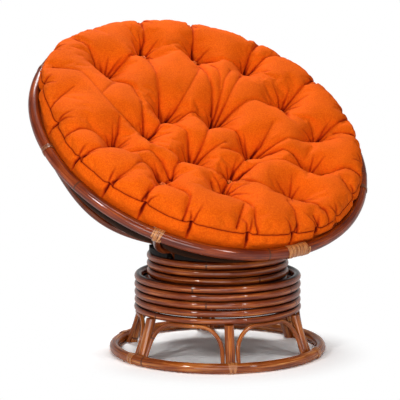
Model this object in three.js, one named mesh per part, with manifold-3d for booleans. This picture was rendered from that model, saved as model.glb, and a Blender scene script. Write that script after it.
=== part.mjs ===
// A round tilting rattan lounge chair: a bowl of bent cane on a nested swivel-and-rock drum base.
// Lengths are in millimetres, +Z is up, the sitter faces -Y, and the origin is on the floor
// under the centre of the bowl's rim.
import * as THREE from 'three';
import * as BufferGeometryUtils from 'three/addons/utils/BufferGeometryUtils.js';
import Module from 'manifold-3d';

const wasm = await Module();
wasm.setup();

// Fits that several pieces share
const clearance = 0.3;

// Bowl rim: one thick cane bent into a hoop and tilted back
const rimRadius = 532.5;
const rimCane = 35;
const rimCentreHeight = 661;
const rimCentreBehindBase = 104.6;
const rimTiltDeg = 35.66;
const rimSides = 12;
const rimSteps = 64;

// Peel wraps round the rim, one over each rib's end
const wrapThickness = 2.2;
const ribWrapWidth = 16;
const bigWrapWidth = 26;
const spliceWrapWidth = 71;
const wrapSides = 10;

// Upper drum: cane rings round the feet of the ribs
const upperDrumCane = 24.2;
const drumNestGap = 14.3;
const upperDrumTop = 314.1;
const upperDrumRings = 4;

// Lower drum: cane rings that the upper drum turns and rocks inside
const lowerDrumRadius = 245.9;
const lowerDrumCane = 24;
const lowerDrumTop = 249;
const lowerDrumRings = 4;
const footRingCane = 20.5;
const footRingOutset = 3;

// Floor ring
const floorRingRadius = 320.7;
const floorRingCane = 31;
const floorRingSteps = 64;
const ringSteps = 40;
const ringSides = 8;

// Legs: straight poles that lean out from under the lower drum to the floor ring
const legCount = 6;
const legCane = 29;
const legSides = 8;
const legTopOutset = 4;
const firstLegDeg = -22.5;

// Arches: thin canes bent between neighbouring legs
const archCane = 13;
const archSides = 6;
const archCornerWidth = 62;
const archCornerHeight = 70;
const archFootHeight = 4;
const archCornerSteps = 6;
const archFlatSteps = 4;
const archLegSteps = 2;

// Peel straps that tie the legs' feet to the floor ring
const strapWidth = 24;
const strapThickness = 2;
const strapFromDeg = -48;
const strapToDeg = 100;
const strapSteps = 8;

// Cross bars inside the lower drum, under the swivel
const barWidth = 30;
const barDepth = 24;
const barSpacing = 130;
const barTop = 174;

// Swivel: two steel plates on a ring of balls
const plateThickness = 4;
const swivelPlateSide = 190;
const bearingRadius = 72;
const bearingWidth = 16;
const bearingHeight = 7;
const bearingSteps = 32;
const carrierGap = 17.63;
const carrierLengthShare = 0.8176;
const carrierWidthShare = 0.5758;
const plateCorner = 14;
const cornerSteps = 3;

// Rocking springs
const springCurls = 5;
const springOuter = 50;
const springWire = 8;
const springInsetX = 35;
const springInsetY = 30;
const springSeatInset = 1.5;
const springSeatHeight = 9;
const stepsPerCurl = 8;
const wireSides = 5;
const seatSides = 16;

// Seat board: a black disc on the upper drum, notched where the ribs pass
const boardOverhang = 4.5;
const boardThickness = 16;
const notchMargin = 2;
const notchSteps = 8;
const boardCurveSteps = 1;

// Ribs: bent canes from the rim down into the upper drum
const ribCane = 24;
const ribSides = 8;
const ribStub = 6;
const ribSweepSteps = 13;
const ribBendSteps = 4;
const ribBendRadius = 38;
const ribBendLift = 4;
const ribFootAboveDrumBottom = 3;
// Each rib's angle on the rim and on the drum, how far it leans in at the rim, how much it slopes
// where it comes over the drum, and its two reach shares, all seen from the front (-Y) towards +X.
const ribs = [
  { rimDeg: -87, drumDeg: -127, leanDeg: 34.7, slopeDeg: 10.9, riseShare: 0.51, runShare: 0.4 },
  { rimDeg: -39, drumDeg: -72, leanDeg: 42, slopeDeg: 0, riseShare: 0.3, runShare: 0.3 },
  { rimDeg: 8.5, drumDeg: -15, leanDeg: 40, slopeDeg: 0, riseShare: 0.2, runShare: 0.3 },
  { rimDeg: 56.5, drumDeg: 35, leanDeg: 40, slopeDeg: 6, riseShare: 0.22, runShare: 0.3 },
  { rimDeg: 100, drumDeg: 78, leanDeg: 38, slopeDeg: 12, riseShare: 0.3, runShare: 0.34 },
  { rimDeg: 143, drumDeg: 118, leanDeg: 36, slopeDeg: 16, riseShare: 0.36, runShare: 0.36 },
  { rimDeg: 186, drumDeg: 155, leanDeg: 36, slopeDeg: 18, riseShare: 0.38, runShare: 0.38 },
  { rimDeg: 230, drumDeg: 193, leanDeg: 36, slopeDeg: 16, riseShare: 0.4, runShare: 0.38 },
];
const bigWrapRib = 1;
const spliceWrapRib = 2;

// Cushion: a round boxed pad that lies in the rim, sewn through with tufts
const cushionSideGap = 6;
const cushionRimGap = 1;
const cushionSeamHeight = 52;
const cushionBulge = 7;
const shoulderBulge = 9;
const shoulderShare = 0.14;
const cushionCrown = 28;
const cushionCrownFlatness = 9;
const cushionFaceDish = 46;
const cushionBackSag = 0.1;
const cushionSagRoundness = 0.85;
const tuftDepth = 50;
const tuftReach = 115;
const tuftSharpness = 1.9;
const puffHeight = 25;
const puffReach = 32;
const cushionSteps = 48;
const supportSteps = 4;
const faceRings = 14;
const faceRingSpread = 0.85;
const wallRings = 4;
const bottomRings = 7;
// How far the upper seam lies inside the rim's middle line, as shares of the rim's radius,
// at even steps round from the back towards +X
const seamInsetShares = [
  0.0347, 0.0122, 0.0009, 0.0235, 0.0347, 0.0329,
  0.0479, 0.0723, 0.0629, 0.0723, 0.0085, 0.0244,
];
// Tufts, each with a letter and its place across the bowl and up it as shares of the rim's radius
const tuftShares = {
  a: { acrossShare: -0.417, upShare: 0.531, depthShare: 1.00 },
  b: { acrossShare: -0.092, upShare: 0.697, depthShare: 0.92 },
  c: { acrossShare: 0.238, upShare: 0.637, depthShare: 0.88 },
  d: { acrossShare: 0.520, upShare: 0.490, depthShare: 0.88 },
  e: { acrossShare: 0.625, upShare: 0.152, depthShare: 0.92 },
  f: { acrossShare: 0.699, upShare: -0.165, depthShare: 0.88 },
  g: { acrossShare: 0.518, upShare: -0.434, depthShare: 0.96 },
  h: { acrossShare: 0.278, upShare: -0.629, depthShare: 0.88 },
  i: { acrossShare: -0.006, upShare: -0.417, depthShare: 0.80 },
  j: { acrossShare: -0.120, upShare: -0.560, depthShare: 0.68 },
  k: { acrossShare: -0.456, upShare: -0.430, depthShare: 0.88 },
  l: { acrossShare: -0.627, upShare: -0.105, depthShare: 0.92 },
  m: { acrossShare: -0.381, upShare: -0.024, depthShare: 0.88 },
  n: { acrossShare: -0.180, upShare: 0.145, depthShare: 1.12 },
  o: { acrossShare: 0.124, upShare: 0.081, depthShare: 1.16 },
  p: { acrossShare: 0.225, upShare: -0.227, depthShare: 1.08 },
  q: { acrossShare: -0.180, upShare: -0.261, depthShare: 1.12 },
};
// Folds between two tufts, named by their letters, and folds that run from a tuft out to the seam,
// each at an angle from the back towards +X
const tuftFolds = [
  'ab', 'bn', 'cn', 'no', 'mn', 'nq', 'do', 'co', 'eo', 'op', 'oq',
  'fp', 'gp', 'ip', 'iq', 'gi', 'mq', 'kq', 'ij', 'hj', 'am', 'kl',
];
const seamFolds = [
  { tuft: 'a', deg: -35 },
  { tuft: 'a', deg: -57 },
  { tuft: 'b', deg: -2 },
  { tuft: 'c', deg: 18 },
  { tuft: 'd', deg: 45 },
  { tuft: 'd', deg: 56 },
  { tuft: 'e', deg: 71 },
  { tuft: 'f', deg: 94 },
  { tuft: 'g', deg: 125 },
  { tuft: 'h', deg: 157 },
  { tuft: 'h', deg: 172 },
  { tuft: 'j', deg: -173 },
  { tuft: 'k', deg: -133 },
  { tuft: 'k', deg: -147 },
  { tuft: 'l', deg: -94 },
  { tuft: 'l', deg: -106 },
  { tuft: 'l', deg: -119 },
];

// Finishes
const rattanBrown = 0x9c4a22;
const rattanDark = 0x7c3a1c;
const peelTan = 0xb8743c;
const boardBlack = 0x161412;
const steelGrey = 0x8a8c90;
const springGrey = 0x5c5e62;
const barBrown = 0x8a5a34;
const cushionOrange = 0xf06a10;

function finish(color, roughness, metalness) {
  return new THREE.MeshStandardMaterial({ color, roughness, metalness });
}

// Frames of reference: the chair, and the bowl tilted on it
const chair = new THREE.Group();
const base = new THREE.Group();
base.position.set(0, -rimCentreBehindBase, 0);
const bowl = new THREE.Group();
bowl.position.set(0, rimCentreBehindBase, rimCentreHeight);
bowl.rotation.set(THREE.MathUtils.degToRad(rimTiltDeg), 0, 0);
base.add(bowl);
chair.add(base);
bowl.updateMatrix();

function addPiece(group, name, geometry, material) {
  const piece = new THREE.Mesh(geometry, material);
  piece.name = name;
  group.add(piece);
  return piece;
}

// Angles on the chair are counted from the front (-Y) towards +X
function outward(degrees) {
  const angle = THREE.MathUtils.degToRad(degrees);
  return new THREE.Vector3(Math.sin(angle), -Math.cos(angle), 0);
}

function polar(radius, degrees, height) {
  return outward(degrees).multiplyScalar(radius).setZ(height);
}

// A closed body from loops of points: each loop joins the next, and the ends close with flat caps
function bodyFromLoops(loops, closed) {
  const size = loops[0].length;
  const positions = loops.flat().flatMap((point) => [point.x, point.y, point.z]);
  const faces = [];
  const spans = closed ? loops.length : loops.length - 1;
  for (let loop = 0; loop < spans; loop += 1) {
    const here = loop * size;
    const next = ((loop + 1) % loops.length) * size;
    for (let side = 0; side < size; side += 1) {
      const after = (side + 1) % size;
      faces.push([here + side, next + side, next + after]);
      faces.push([here + side, next + after, here + after]);
    }
  }
  if (!closed) {
    const last = (loops.length - 1) * size;
    faces.push(...capFaces(loops[0]));
    faces.push(...capFaces(loops.at(-1)).map(([a, b, c]) => [c + last, b + last, a + last]));
  }
  return bodyFromFaces(positions, faces);
}

// Caps a loop that may bend inwards, by cutting it into triangles in its own plane
function capFaces(loop) {
  const normal = new THREE.Vector3();
  loop.forEach((point, index) => {
    normal.add(new THREE.Vector3().crossVectors(point, loop[(index + 1) % loop.length]));
  });
  normal.normalize();
  const across = new THREE.Vector3().subVectors(loop[1], loop[0]).normalize();
  const along = new THREE.Vector3().crossVectors(normal, across);
  const flat = loop.map((point) => new THREE.Vector2(point.dot(across), point.dot(along)));
  return THREE.ShapeUtils.triangulateShape(flat, []);
}

// Turns every face outwards if the body came out inside out
function bodyFromFaces(positions, faces) {
  const corner = (index) => new THREE.Vector3().fromArray(positions, index * 3);
  const volume = faces.reduce(
    (sum, [a, b, c]) => sum + corner(a).dot(corner(b).cross(corner(c))),
    0,
  );
  const outwardFaces = volume < 0 ? faces.map(([a, b, c]) => [c, b, a]) : faces;
  const geometry = new THREE.BufferGeometry();
  geometry.setAttribute('position', new THREE.Float32BufferAttribute(positions, 3));
  geometry.setIndex(outwardFaces.flat());
  geometry.computeVertexNormals();
  return geometry;
}

// A round cane's section: a polygon whose flats are one cane apart, with a flat at the bottom
function caneSection(cane, sides) {
  const half = Math.PI / sides;
  const corner = cane / 2 / Math.cos(half);
  return Array.from({ length: sides }, (_, index) => {
    const angle = half + index * 2 * half - Math.PI / 2;
    return new THREE.Vector2(corner * Math.cos(angle), corner * Math.sin(angle));
  });
}

// How far in a hoop's inner side reaches, at the middle of each straight step
function hoopInner(radius, cane, steps) {
  return (radius - cane / 2) * Math.cos(Math.PI / steps);
}

// A hoop of cane about the Z axis, its centreline at the given radius and height
function caneHoop(radius, height, cane, sides, steps) {
  const section = caneSection(cane, sides).map(
    (point) => new THREE.Vector2(point.x + radius, point.y + height),
  );
  const loops = Array.from({ length: steps }, (_, index) => {
    const turn = (index * 360) / steps;
    return section.map((point) => polar(point.x, turn, point.y));
  });
  return bodyFromLoops(loops, true);
}

// A cane along a line of points. The flats of its section lie square to the given direction.
function caneAlong(points, cane, sides, facing) {
  const section = caneSection(cane, sides);
  const loops = points.map((point, index) => {
    const before = points[Math.max(index - 1, 0)];
    const after = points[Math.min(index + 1, points.length - 1)];
    const forward = new THREE.Vector3().subVectors(after, before).normalize();
    const lift = new THREE.Vector3().crossVectors(forward, facing(index)).normalize();
    const across = new THREE.Vector3().crossVectors(lift, forward);
    return section.map((flat) =>
      point.clone().addScaledVector(across, flat.x).addScaledVector(lift, flat.y),
    );
  });
  return bodyFromLoops(loops, false);
}

function rectangleWithRoundCorners(length, width, corner) {
  const x = length / 2;
  const y = width / 2;
  const shape = new THREE.Shape();
  shape.moveTo(corner - x, -y);
  shape.lineTo(x - corner, -y);
  shape.absarc(x - corner, corner - y, corner, -Math.PI / 2, 0, false);
  shape.lineTo(x, y - corner);
  shape.absarc(x - corner, y - corner, corner, 0, Math.PI / 2, false);
  shape.lineTo(corner - x, y);
  shape.absarc(corner - x, y - corner, corner, Math.PI / 2, Math.PI, false);
  shape.lineTo(-x, corner - y);
  shape.absarc(corner - x, corner - y, corner, Math.PI, Math.PI * 1.5, false);
  return shape;
}

function extruded(shape, depth, bottom, curveSegments) {
  const geometry = new THREE.ExtrudeGeometry(shape, {
    depth,
    bevelEnabled: false,
    curveSegments,
  });
  return geometry.translate(0, 0, bottom);
}

function toSolid(geometry) {
  const bare = geometry.clone();
  bare.deleteAttribute('normal');
  bare.deleteAttribute('uv');
  const merged = BufferGeometryUtils.mergeVertices(bare);
  return new wasm.Manifold(
    new wasm.Mesh({
      numProp: 3,
      vertProperties: new Float32Array(merged.attributes.position.array),
      triVerts: new Uint32Array(merged.index.array),
    }),
  );
}

function fromSolid(solid) {
  const mesh = solid.getMesh();
  const geometry = new THREE.BufferGeometry();
  geometry.setAttribute('position', new THREE.BufferAttribute(mesh.vertProperties, 3));
  geometry.setIndex(Array.from(mesh.triVerts));
  geometry.computeVertexNormals();
  return geometry;
}

// Floor ring and lower drum
const floorRingCentre = floorRingCane / 2;
const footRingRadius = lowerDrumRadius + footRingOutset;
const stackedBottom = lowerDrumTop - lowerDrumRings * lowerDrumCane - (lowerDrumRings - 1) * clearance;
const footRingCentre = stackedBottom - clearance - footRingCane / 2;
const footRingBottom = footRingCentre - footRingCane / 2;

function buildRings() {
  const cane = finish(rattanBrown, 0.35, 0);
  const hoop = caneHoop(floorRingRadius, floorRingCentre, floorRingCane, ringSides, floorRingSteps);
  addPiece(base, 'floor_ring', hoop, cane);
  for (let ring = 0; ring < lowerDrumRings; ring += 1) {
    const height = lowerDrumTop - lowerDrumCane / 2 - ring * (lowerDrumCane + clearance);
    const geometry = caneHoop(lowerDrumRadius, height, lowerDrumCane, ringSides, ringSteps);
    addPiece(base, `lower_drum_ring_${ring + 1}`, geometry, finish(rattanBrown, 0.35, 0));
  }
  const foot = caneHoop(footRingRadius, footRingCentre, footRingCane, ringSides, ringSteps);
  addPiece(base, `lower_drum_ring_${lowerDrumRings + 1}`, foot, finish(rattanDark, 0.35, 0));
}

// Legs: each pole's foot stands on the floor against the inside of the floor ring
const legTop = footRingBottom - clearance;
const legTopRadius = footRingRadius + legTopOutset;
const floorRingCorner = floorRingCane / 2 / Math.cos(Math.PI / ringSides);
const floorRingLine = floorRingRadius * Math.cos(Math.PI / floorRingSteps);

// The lean that takes a cane from its seat against the floor ring to its place under the drum
function leanTo(topRadius, topHeight, halfCane) {
  const run = floorRingLine - topRadius;
  const rise = topHeight - floorRingCentre;
  const standoff = floorRingCorner + clearance + halfCane;
  return Math.acos(standoff / Math.hypot(run, rise)) - Math.atan2(rise, run);
}

// The radius of a cane's centreline that leans in from its seat against the floor ring
function leaningRadius(height, lean, halfCane) {
  const seat = floorRingLine - (floorRingCorner + clearance + halfCane) / Math.cos(lean);
  return seat - (height - floorRingCentre) * Math.tan(lean);
}

const legLean = leanTo(legTopRadius, legTop, legCane / 2);

function buildLegs() {
  for (let leg = 0; leg < legCount; leg += 1) {
    const degrees = firstLegDeg + (leg * 360) / legCount;
    const out = outward(degrees);
    const side = outward(degrees + 90);
    const loops = [0, legTop].map((height) =>
      caneSection(legCane, legSides).map((flat) =>
        polar(leaningRadius(height, legLean, legCane / 2), degrees, height)
          .addScaledVector(out, flat.x / Math.cos(legLean))
          .addScaledVector(side, flat.y),
      ),
    );
    addPiece(base, `leg_${leg + 1}`, bodyFromLoops(loops, false), finish(rattanBrown, 0.35, 0));
  }
}

// Arches: up beside one leg, round a soft corner, along under the foot ring and down to the next
const archTop = footRingBottom - clearance - archCane / 2;
const archCorner = archCane / 2 / Math.cos(Math.PI / archSides);
const archBesideLeg = legCane / 2 / Math.cos(Math.PI / legSides) + clearance + archCorner;
const archLean = leanTo(footRingRadius, archTop, archCorner);

function archSidePoints(legDeg, direction) {
  const cornerStart = archTop - archCornerHeight;
  const points = [];
  for (let step = 0; step < archLegSteps; step += 1) {
    const height = archFootHeight + ((cornerStart - archFootHeight) * step) / archLegSteps;
    points.push({ height, offset: archBesideLeg });
  }
  for (let step = 0; step <= archCornerSteps; step += 1) {
    const turn = (Math.PI / 2) * (step / archCornerSteps);
    points.push({
      height: cornerStart + archCornerHeight * Math.sin(turn),
      offset: archBesideLeg + archCornerWidth * (1 - Math.cos(turn)),
    });
  }
  return points.map(({ height, offset }) => {
    const radius = leaningRadius(height, archLean, archCorner);
    const swing = THREE.MathUtils.radToDeg(offset / radius);
    return { radius, height, degrees: legDeg + direction * swing };
  });
}

function buildArches() {
  const pitch = 360 / legCount;
  for (let arch = 0; arch < legCount; arch += 1) {
    const startDeg = firstLegDeg + arch * pitch;
    const rise = archSidePoints(startDeg, 1);
    const fall = archSidePoints(startDeg + pitch, -1).reverse();
    const from = rise.at(-1).degrees;
    const to = fall[0].degrees;
    const along = [];
    for (let step = 1; step < archFlatSteps; step += 1) {
      const degrees = from + ((to - from) * step) / archFlatSteps;
      along.push({ radius: rise.at(-1).radius, height: archTop, degrees });
    }
    const route = [...rise, ...along, ...fall];
    const points = route.map((stop) => polar(stop.radius, stop.degrees, stop.height));
    const geometry = caneAlong(points, archCane, archSides, (index) => outward(route[index].degrees));
    addPiece(base, `arch_${arch + 1}`, geometry, finish(rattanBrown, 0.38, 0));
  }
}

// Straps: a curved band of peel over the outside and top of the floor ring at each leg
function buildStraps() {
  const inner = floorRingCane / 2 / Math.cos(Math.PI / ringSides) + clearance;
  const outer = inner + strapThickness;
  const spread = THREE.MathUtils.radToDeg(strapWidth / floorRingRadius / 2);
  const arc = (radius) =>
    Array.from({ length: strapSteps + 1 }, (_, step) => {
      const share = step / strapSteps;
      const angle = THREE.MathUtils.degToRad(strapFromDeg + (strapToDeg - strapFromDeg) * share);
      return new THREE.Vector2(radius * Math.cos(angle), radius * Math.sin(angle));
    });
  const section = [...arc(outer), ...arc(inner).reverse()];
  for (let leg = 0; leg < legCount; leg += 1) {
    const middle = firstLegDeg + (leg * 360) / legCount;
    const loops = [-spread, 0, spread].map((swing) =>
      section.map((flat) =>
        polar(floorRingRadius + flat.x, middle + swing, floorRingCentre + flat.y),
      ),
    );
    addPiece(base, `foot_strap_${leg + 1}`, bodyFromLoops(loops, false), finish(peelTan, 0.6, 0));
  }
}

// Cross bars across the lower drum, cut to meet the rings
function buildCrossBars() {
  const reach = hoopInner(lowerDrumRadius, lowerDrumCane, ringSteps);
  const farEdge = barSpacing / 2 + barWidth / 2;
  const length = 2 * (Math.sqrt(reach * reach - farEdge * farEdge) - clearance);
  for (const [name, side] of [['front', -1], ['back', 1]]) {
    const bar = new THREE.BoxGeometry(length, barWidth, barDepth);
    bar.translate(0, (side * barSpacing) / 2, barTop - barDepth / 2);
    addPiece(base, `cross_bar_${name}`, bar, finish(barBrown, 0.7, 0));
  }
}

// Upper drum's size, and the plates that fit between the feet of the ribs inside it
const upperDrumRadius = lowerDrumRadius - lowerDrumCane / 2 - drumNestGap - upperDrumCane / 2;
const upperDrumInner = hoopInner(upperDrumRadius, upperDrumCane, ringSteps);
const ribPostRadius = upperDrumInner - clearance - ribCane / 2;
const carrierDiagonal = 2 * (ribPostRadius - ribCane / 2 - carrierGap);
const carrierLength = carrierDiagonal * carrierLengthShare;
const carrierWidth = carrierDiagonal * carrierWidthShare;
const springSpacingX = carrierLength - 2 * springInsetX;
const springSpacingY = carrierWidth - 2 * springInsetY;

// Swivel: fixed plate, ball race, and the turning plate that carries the springs
const swivelPlateBottom = barTop + clearance;
const bearingBottom = swivelPlateBottom + plateThickness + clearance;
const carrierBottom = bearingBottom + bearingHeight + clearance;
const carrierTop = carrierBottom + plateThickness;
const boardBottom = upperDrumTop + clearance;
const rockPlateTop = boardBottom - clearance;
const rockPlateBottom = rockPlateTop - plateThickness;
const springRadius = (springOuter - springWire) / 2;

function springSeats() {
  return [-1, 1].flatMap((x) =>
    [-1, 1].map((y) => new THREE.Vector2((x * springSpacingX) / 2, (y * springSpacingY) / 2)),
  );
}

function plateWithSeats(length, width, bottom, seatBottom) {
  const shape = rectangleWithRoundCorners(length, width, plateCorner);
  let solid = toSolid(extruded(shape, plateThickness, bottom, cornerSteps));
  const seatRadius = springOuter / 2 - springWire - springSeatInset;
  for (const place of springSeats()) {
    const seat = new THREE.CylinderGeometry(seatRadius, seatRadius, springSeatHeight, seatSides);
    seat.rotateX(Math.PI / 2);
    seat.translate(place.x, place.y, seatBottom + springSeatHeight / 2);
    solid = solid.add(toSolid(seat));
  }
  return fromSolid(solid);
}

function buildSwivel() {
  const steel = () => finish(steelGrey, 0.4, 0.9);
  const fixed = rectangleWithRoundCorners(swivelPlateSide, swivelPlateSide, plateCorner);
  const fixedPlate = extruded(fixed, plateThickness, swivelPlateBottom, cornerSteps);
  addPiece(base, 'swivel_base_plate', fixedPlate, steel());
  const inner = bearingRadius - bearingWidth / 2;
  const outer = bearingRadius + bearingWidth / 2;
  const race = [
    [inner, bearingBottom],
    [outer, bearingBottom],
    [outer, bearingBottom + bearingHeight],
    [inner, bearingBottom + bearingHeight],
  ];
  const loops = Array.from({ length: bearingSteps }, (_, step) =>
    race.map(([radius, height]) => polar(radius, (step * 360) / bearingSteps, height)),
  );
  addPiece(base, 'swivel_bearing', bodyFromLoops(loops, true), steel());
  const carrierSeat = carrierTop - plateThickness / 2;
  const carrier = plateWithSeats(carrierLength, carrierWidth, carrierBottom, carrierSeat);
  addPiece(base, 'swivel_top_plate', carrier, steel());
  const rockSeat = rockPlateBottom + plateThickness / 2 - springSeatHeight;
  const rockPlate = plateWithSeats(carrierLength, carrierWidth, rockPlateBottom, rockSeat);
  addPiece(base, 'rocker_plate', rockPlate, steel());
}

// Springs: one unbroken wire each, with its ends run straight for one wire's width
const wireCorner = springWire / 2 / Math.cos(Math.PI / wireSides);
const springBottom = carrierTop + clearance + wireCorner;
const springTop = rockPlateBottom - clearance - wireCorner;
const springRise = springTop - springBottom;

function springPoints() {
  const steps = springCurls * stepsPerCurl;
  const points = [];
  for (let step = 0; step <= steps; step += 1) {
    const turn = (step / stepsPerCurl) * 2 * Math.PI;
    const height = springBottom + (springRise * step) / steps;
    points.push(
      new THREE.Vector3(springRadius * Math.cos(turn), springRadius * Math.sin(turn), height),
    );
  }
  const lead = new THREE.Vector3(0, -springWire, 0).add(points[0]);
  const tail = new THREE.Vector3(0, springWire, 0).add(points.at(-1));
  return [lead, ...points, tail];
}

// The least gap between parts of the wire that lie at least half a curl apart along it
function leastSpringGap(points) {
  let least = Infinity;
  const apart = stepsPerCurl / 2;
  points.forEach((here, index) => {
    for (const there of points.slice(index + apart)) {
      least = Math.min(least, here.distanceTo(there) - 2 * wireCorner);
    }
  });
  return least;
}

function buildSprings() {
  const points = springPoints();
  console.log(`least gap between a spring's curls: ${leastSpringGap(points).toFixed(2)} mm`);
  springSeats().forEach((place, index) => {
    const wire = caneAlong(points, springWire, wireSides, () => new THREE.Vector3(0, 0, 1));
    wire.translate(place.x, place.y, 0);
    addPiece(base, `rocking_spring_${index + 1}`, wire, finish(springGrey, 0.45, 0.8));
  });
}

// Upper drum
const upperDrumBottom = upperDrumTop - upperDrumRings * upperDrumCane - (upperDrumRings - 1) * clearance;

function buildUpperDrum() {
  for (let ring = 0; ring < upperDrumRings; ring += 1) {
    const height = upperDrumTop - upperDrumCane / 2 - ring * (upperDrumCane + clearance);
    const geometry = caneHoop(upperDrumRadius, height, upperDrumCane, ringSides, ringSteps);
    addPiece(base, `upper_drum_ring_${ring + 1}`, geometry, finish(rattanBrown, 0.35, 0));
  }
}

// Seat board
const ribCorner = ribCane / 2 / Math.cos(Math.PI / ribSides);
const boardRadius = upperDrumRadius + boardOverhang;

function buildSeatBoard() {
  const notchRadius = ribCorner + notchMargin;
  const outline = [];
  const halfNotch = THREE.MathUtils.radToDeg(Math.asin(notchRadius / boardRadius));
  const order = [...ribs].sort((a, b) => a.drumDeg - b.drumDeg);
  order.forEach((rib, index) => {
    const out = outward(rib.drumDeg);
    const side = outward(rib.drumDeg + 90);
    for (let step = 0; step <= notchSteps; step += 1) {
      const turn = -Math.PI / 2 + (Math.PI * step) / notchSteps;
      const centre = out.clone().multiplyScalar(ribPostRadius);
      centre.addScaledVector(out, -notchRadius * Math.cos(turn));
      outline.push(centre.addScaledVector(side, notchRadius * Math.sin(turn)));
    }
    const from = rib.drumDeg + halfNotch;
    const to = (order[index + 1] ?? { drumDeg: order[0].drumDeg + 360 }).drumDeg - halfNotch;
    for (let step = 0; step <= notchSteps; step += 1) {
      outline.push(polar(boardRadius, from + ((to - from) * step) / notchSteps, 0));
    }
  });
  const shape = new THREE.Shape(outline.map((point) => new THREE.Vector2(point.x, point.y)));
  const board = extruded(shape, boardThickness, boardBottom, boardCurveSteps);
  addPiece(base, 'seat_board', board, finish(boardBlack, 0.6, 0));
  addSupports(board, 1);
}

// Rim and ribs
function buildRim() {
  const hoop = caneHoop(rimRadius, 0, rimCane, rimSides, rimSteps);
  addPiece(bowl, 'rim', hoop, finish(rattanBrown, 0.3, 0));
}

const rimCorner = rimCane / 2 / Math.cos(Math.PI / rimSides);
const rimStepDip = rimRadius * (1 - Math.cos(Math.PI / rimSteps));
const wrapInner = rimCorner + rimStepDip + clearance;
const wrapOuter = wrapInner + wrapThickness;

// A wrap: a round sleeve of peel that follows the rim's bend
function rimWrap(middleDeg, width) {
  const spread = THREE.MathUtils.radToDeg(width / rimRadius / 2);
  const stations = Math.max(1, Math.round(width / bigWrapWidth));
  const profile = [];
  for (let step = 0; step <= stations; step += 1) {
    profile.push([wrapOuter / Math.cos(Math.PI / wrapSides), -spread + (2 * spread * step) / stations]);
  }
  for (let step = stations; step >= 0; step -= 1) {
    profile.push([wrapInner / Math.cos(Math.PI / wrapSides), -spread + (2 * spread * step) / stations]);
  }
  const loops = Array.from({ length: wrapSides }, (_, side) => {
    const angle = (side * 2 * Math.PI) / wrapSides;
    return profile.map(([radius, swing]) =>
      polar(rimRadius + radius * Math.cos(angle), middleDeg + swing, radius * Math.sin(angle)),
    );
  });
  return bodyFromLoops(loops, true);
}

function wrapWidth(index) {
  if (index === spliceWrapRib) return spliceWrapWidth;
  return index === bigWrapRib ? bigWrapWidth : ribWrapWidth;
}

// A rib leaves the rim square to its wrap, sweeps down under the cushion, comes in over the drum's
// top ring and bends down inside the rings
function ribPoints(rib) {
  const lean = THREE.MathUtils.degToRad(rib.leanDeg);
  const slope = THREE.MathUtils.degToRad(rib.slopeDeg);
  const inward = outward(rib.rimDeg).negate();
  const leave = new THREE.Vector3(0, 0, -Math.cos(lean)).addScaledVector(inward, Math.sin(lean));
  const wrapFace = wrapOuter / Math.cos(Math.PI / wrapSides) + clearance;
  const start = polar(rimRadius, rib.rimDeg, 0).addScaledVector(leave, wrapFace);
  start.applyMatrix4(bowl.matrix);
  leave.transformDirection(bowl.matrix);
  const bendFrom = start.clone().addScaledVector(leave, ribStub);

  const out = outward(rib.drumDeg);
  const up = new THREE.Vector3(0, 0, 1);
  const bendCentre = out.clone().multiplyScalar(ribPostRadius + ribBendRadius);
  bendCentre.setZ(upperDrumTop - upperDrumCane / 2 + ribBendLift);
  const onBend = (angle) =>
    bendCentre
      .clone()
      .addScaledVector(out, ribBendRadius * Math.cos(angle))
      .addScaledVector(up, ribBendRadius * Math.sin(angle));
  const bendStart = Math.PI / 2 + slope;
  const over = onBend(bendStart);
  const reach = bendFrom.distanceTo(over);
  const arrive = out.clone().multiplyScalar(Math.cos(slope)).addScaledVector(up, Math.sin(slope));
  const sweep = new THREE.CubicBezierCurve3(
    bendFrom,
    bendFrom.clone().addScaledVector(leave, reach * rib.riseShare),
    over.clone().addScaledVector(arrive, reach * rib.runShare),
    over,
  );
  const points = [start, ...sweep.getSpacedPoints(ribSweepSteps)];
  for (let step = 1; step <= ribBendSteps; step += 1) {
    points.push(onBend(bendStart + ((Math.PI - bendStart) * step) / ribBendSteps));
  }
  points.push(polar(ribPostRadius, rib.drumDeg, upperDrumBottom + ribFootAboveDrumBottom));
  return points;
}

// Points on what the cushion lies on: each corner of a rib or the board, and points between them
const supports = [];

function addSupports(geometry, stride) {
  const corners = geometry.getAttribute('position');
  for (let index = 0; index + stride < corners.count; index += 1) {
    const from = new THREE.Vector3().fromBufferAttribute(corners, index);
    const to = new THREE.Vector3().fromBufferAttribute(corners, index + stride);
    for (let step = 0; step < supportSteps; step += 1) {
      supports.push(from.clone().lerp(to, step / supportSteps));
    }
  }
}

function buildRibs() {
  ribs.forEach((rib, index) => {
    const points = ribPoints(rib);
    const side = outward(rib.drumDeg + 90);
    const geometry = caneAlong(points, ribCane, ribSides, () => side);
    addPiece(base, `rib_${index + 1}`, geometry, finish(rattanDark, 0.35, 0));
    addSupports(geometry, ribSides);
    const wrap = rimWrap(rib.rimDeg, wrapWidth(index));
    addPiece(bowl, `rim_wrap_${index + 1}`, wrap, finish(peelTan, 0.6, 0));
  });
}

// Cushion: face with its tufts, folds and puffs, boxed wall with a bulge, and a rounded underside
const sideRadius = hoopInner(rimRadius, rimCane, rimSteps) - cushionSideGap;
const rimKeepOut = wrapOuter / Math.cos(Math.PI / wrapSides) + cushionRimGap;

function fromBack(radius, degrees) {
  return polar(radius, 180 - degrees, 0);
}

// The seam's radius at an angle from the back, eased between the stations of its table
function seamRadius(degrees) {
  const stations = seamInsetShares.length;
  const place = ((((degrees % 360) + 360) % 360) / 360) * stations;
  const before = Math.floor(place) % stations;
  const ease = (1 - Math.cos(Math.PI * (place - Math.floor(place)))) / 2;
  const from = seamInsetShares[before];
  const to = seamInsetShares[(before + 1) % stations];
  return rimRadius * (1 - from - (to - from) * ease);
}

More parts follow.
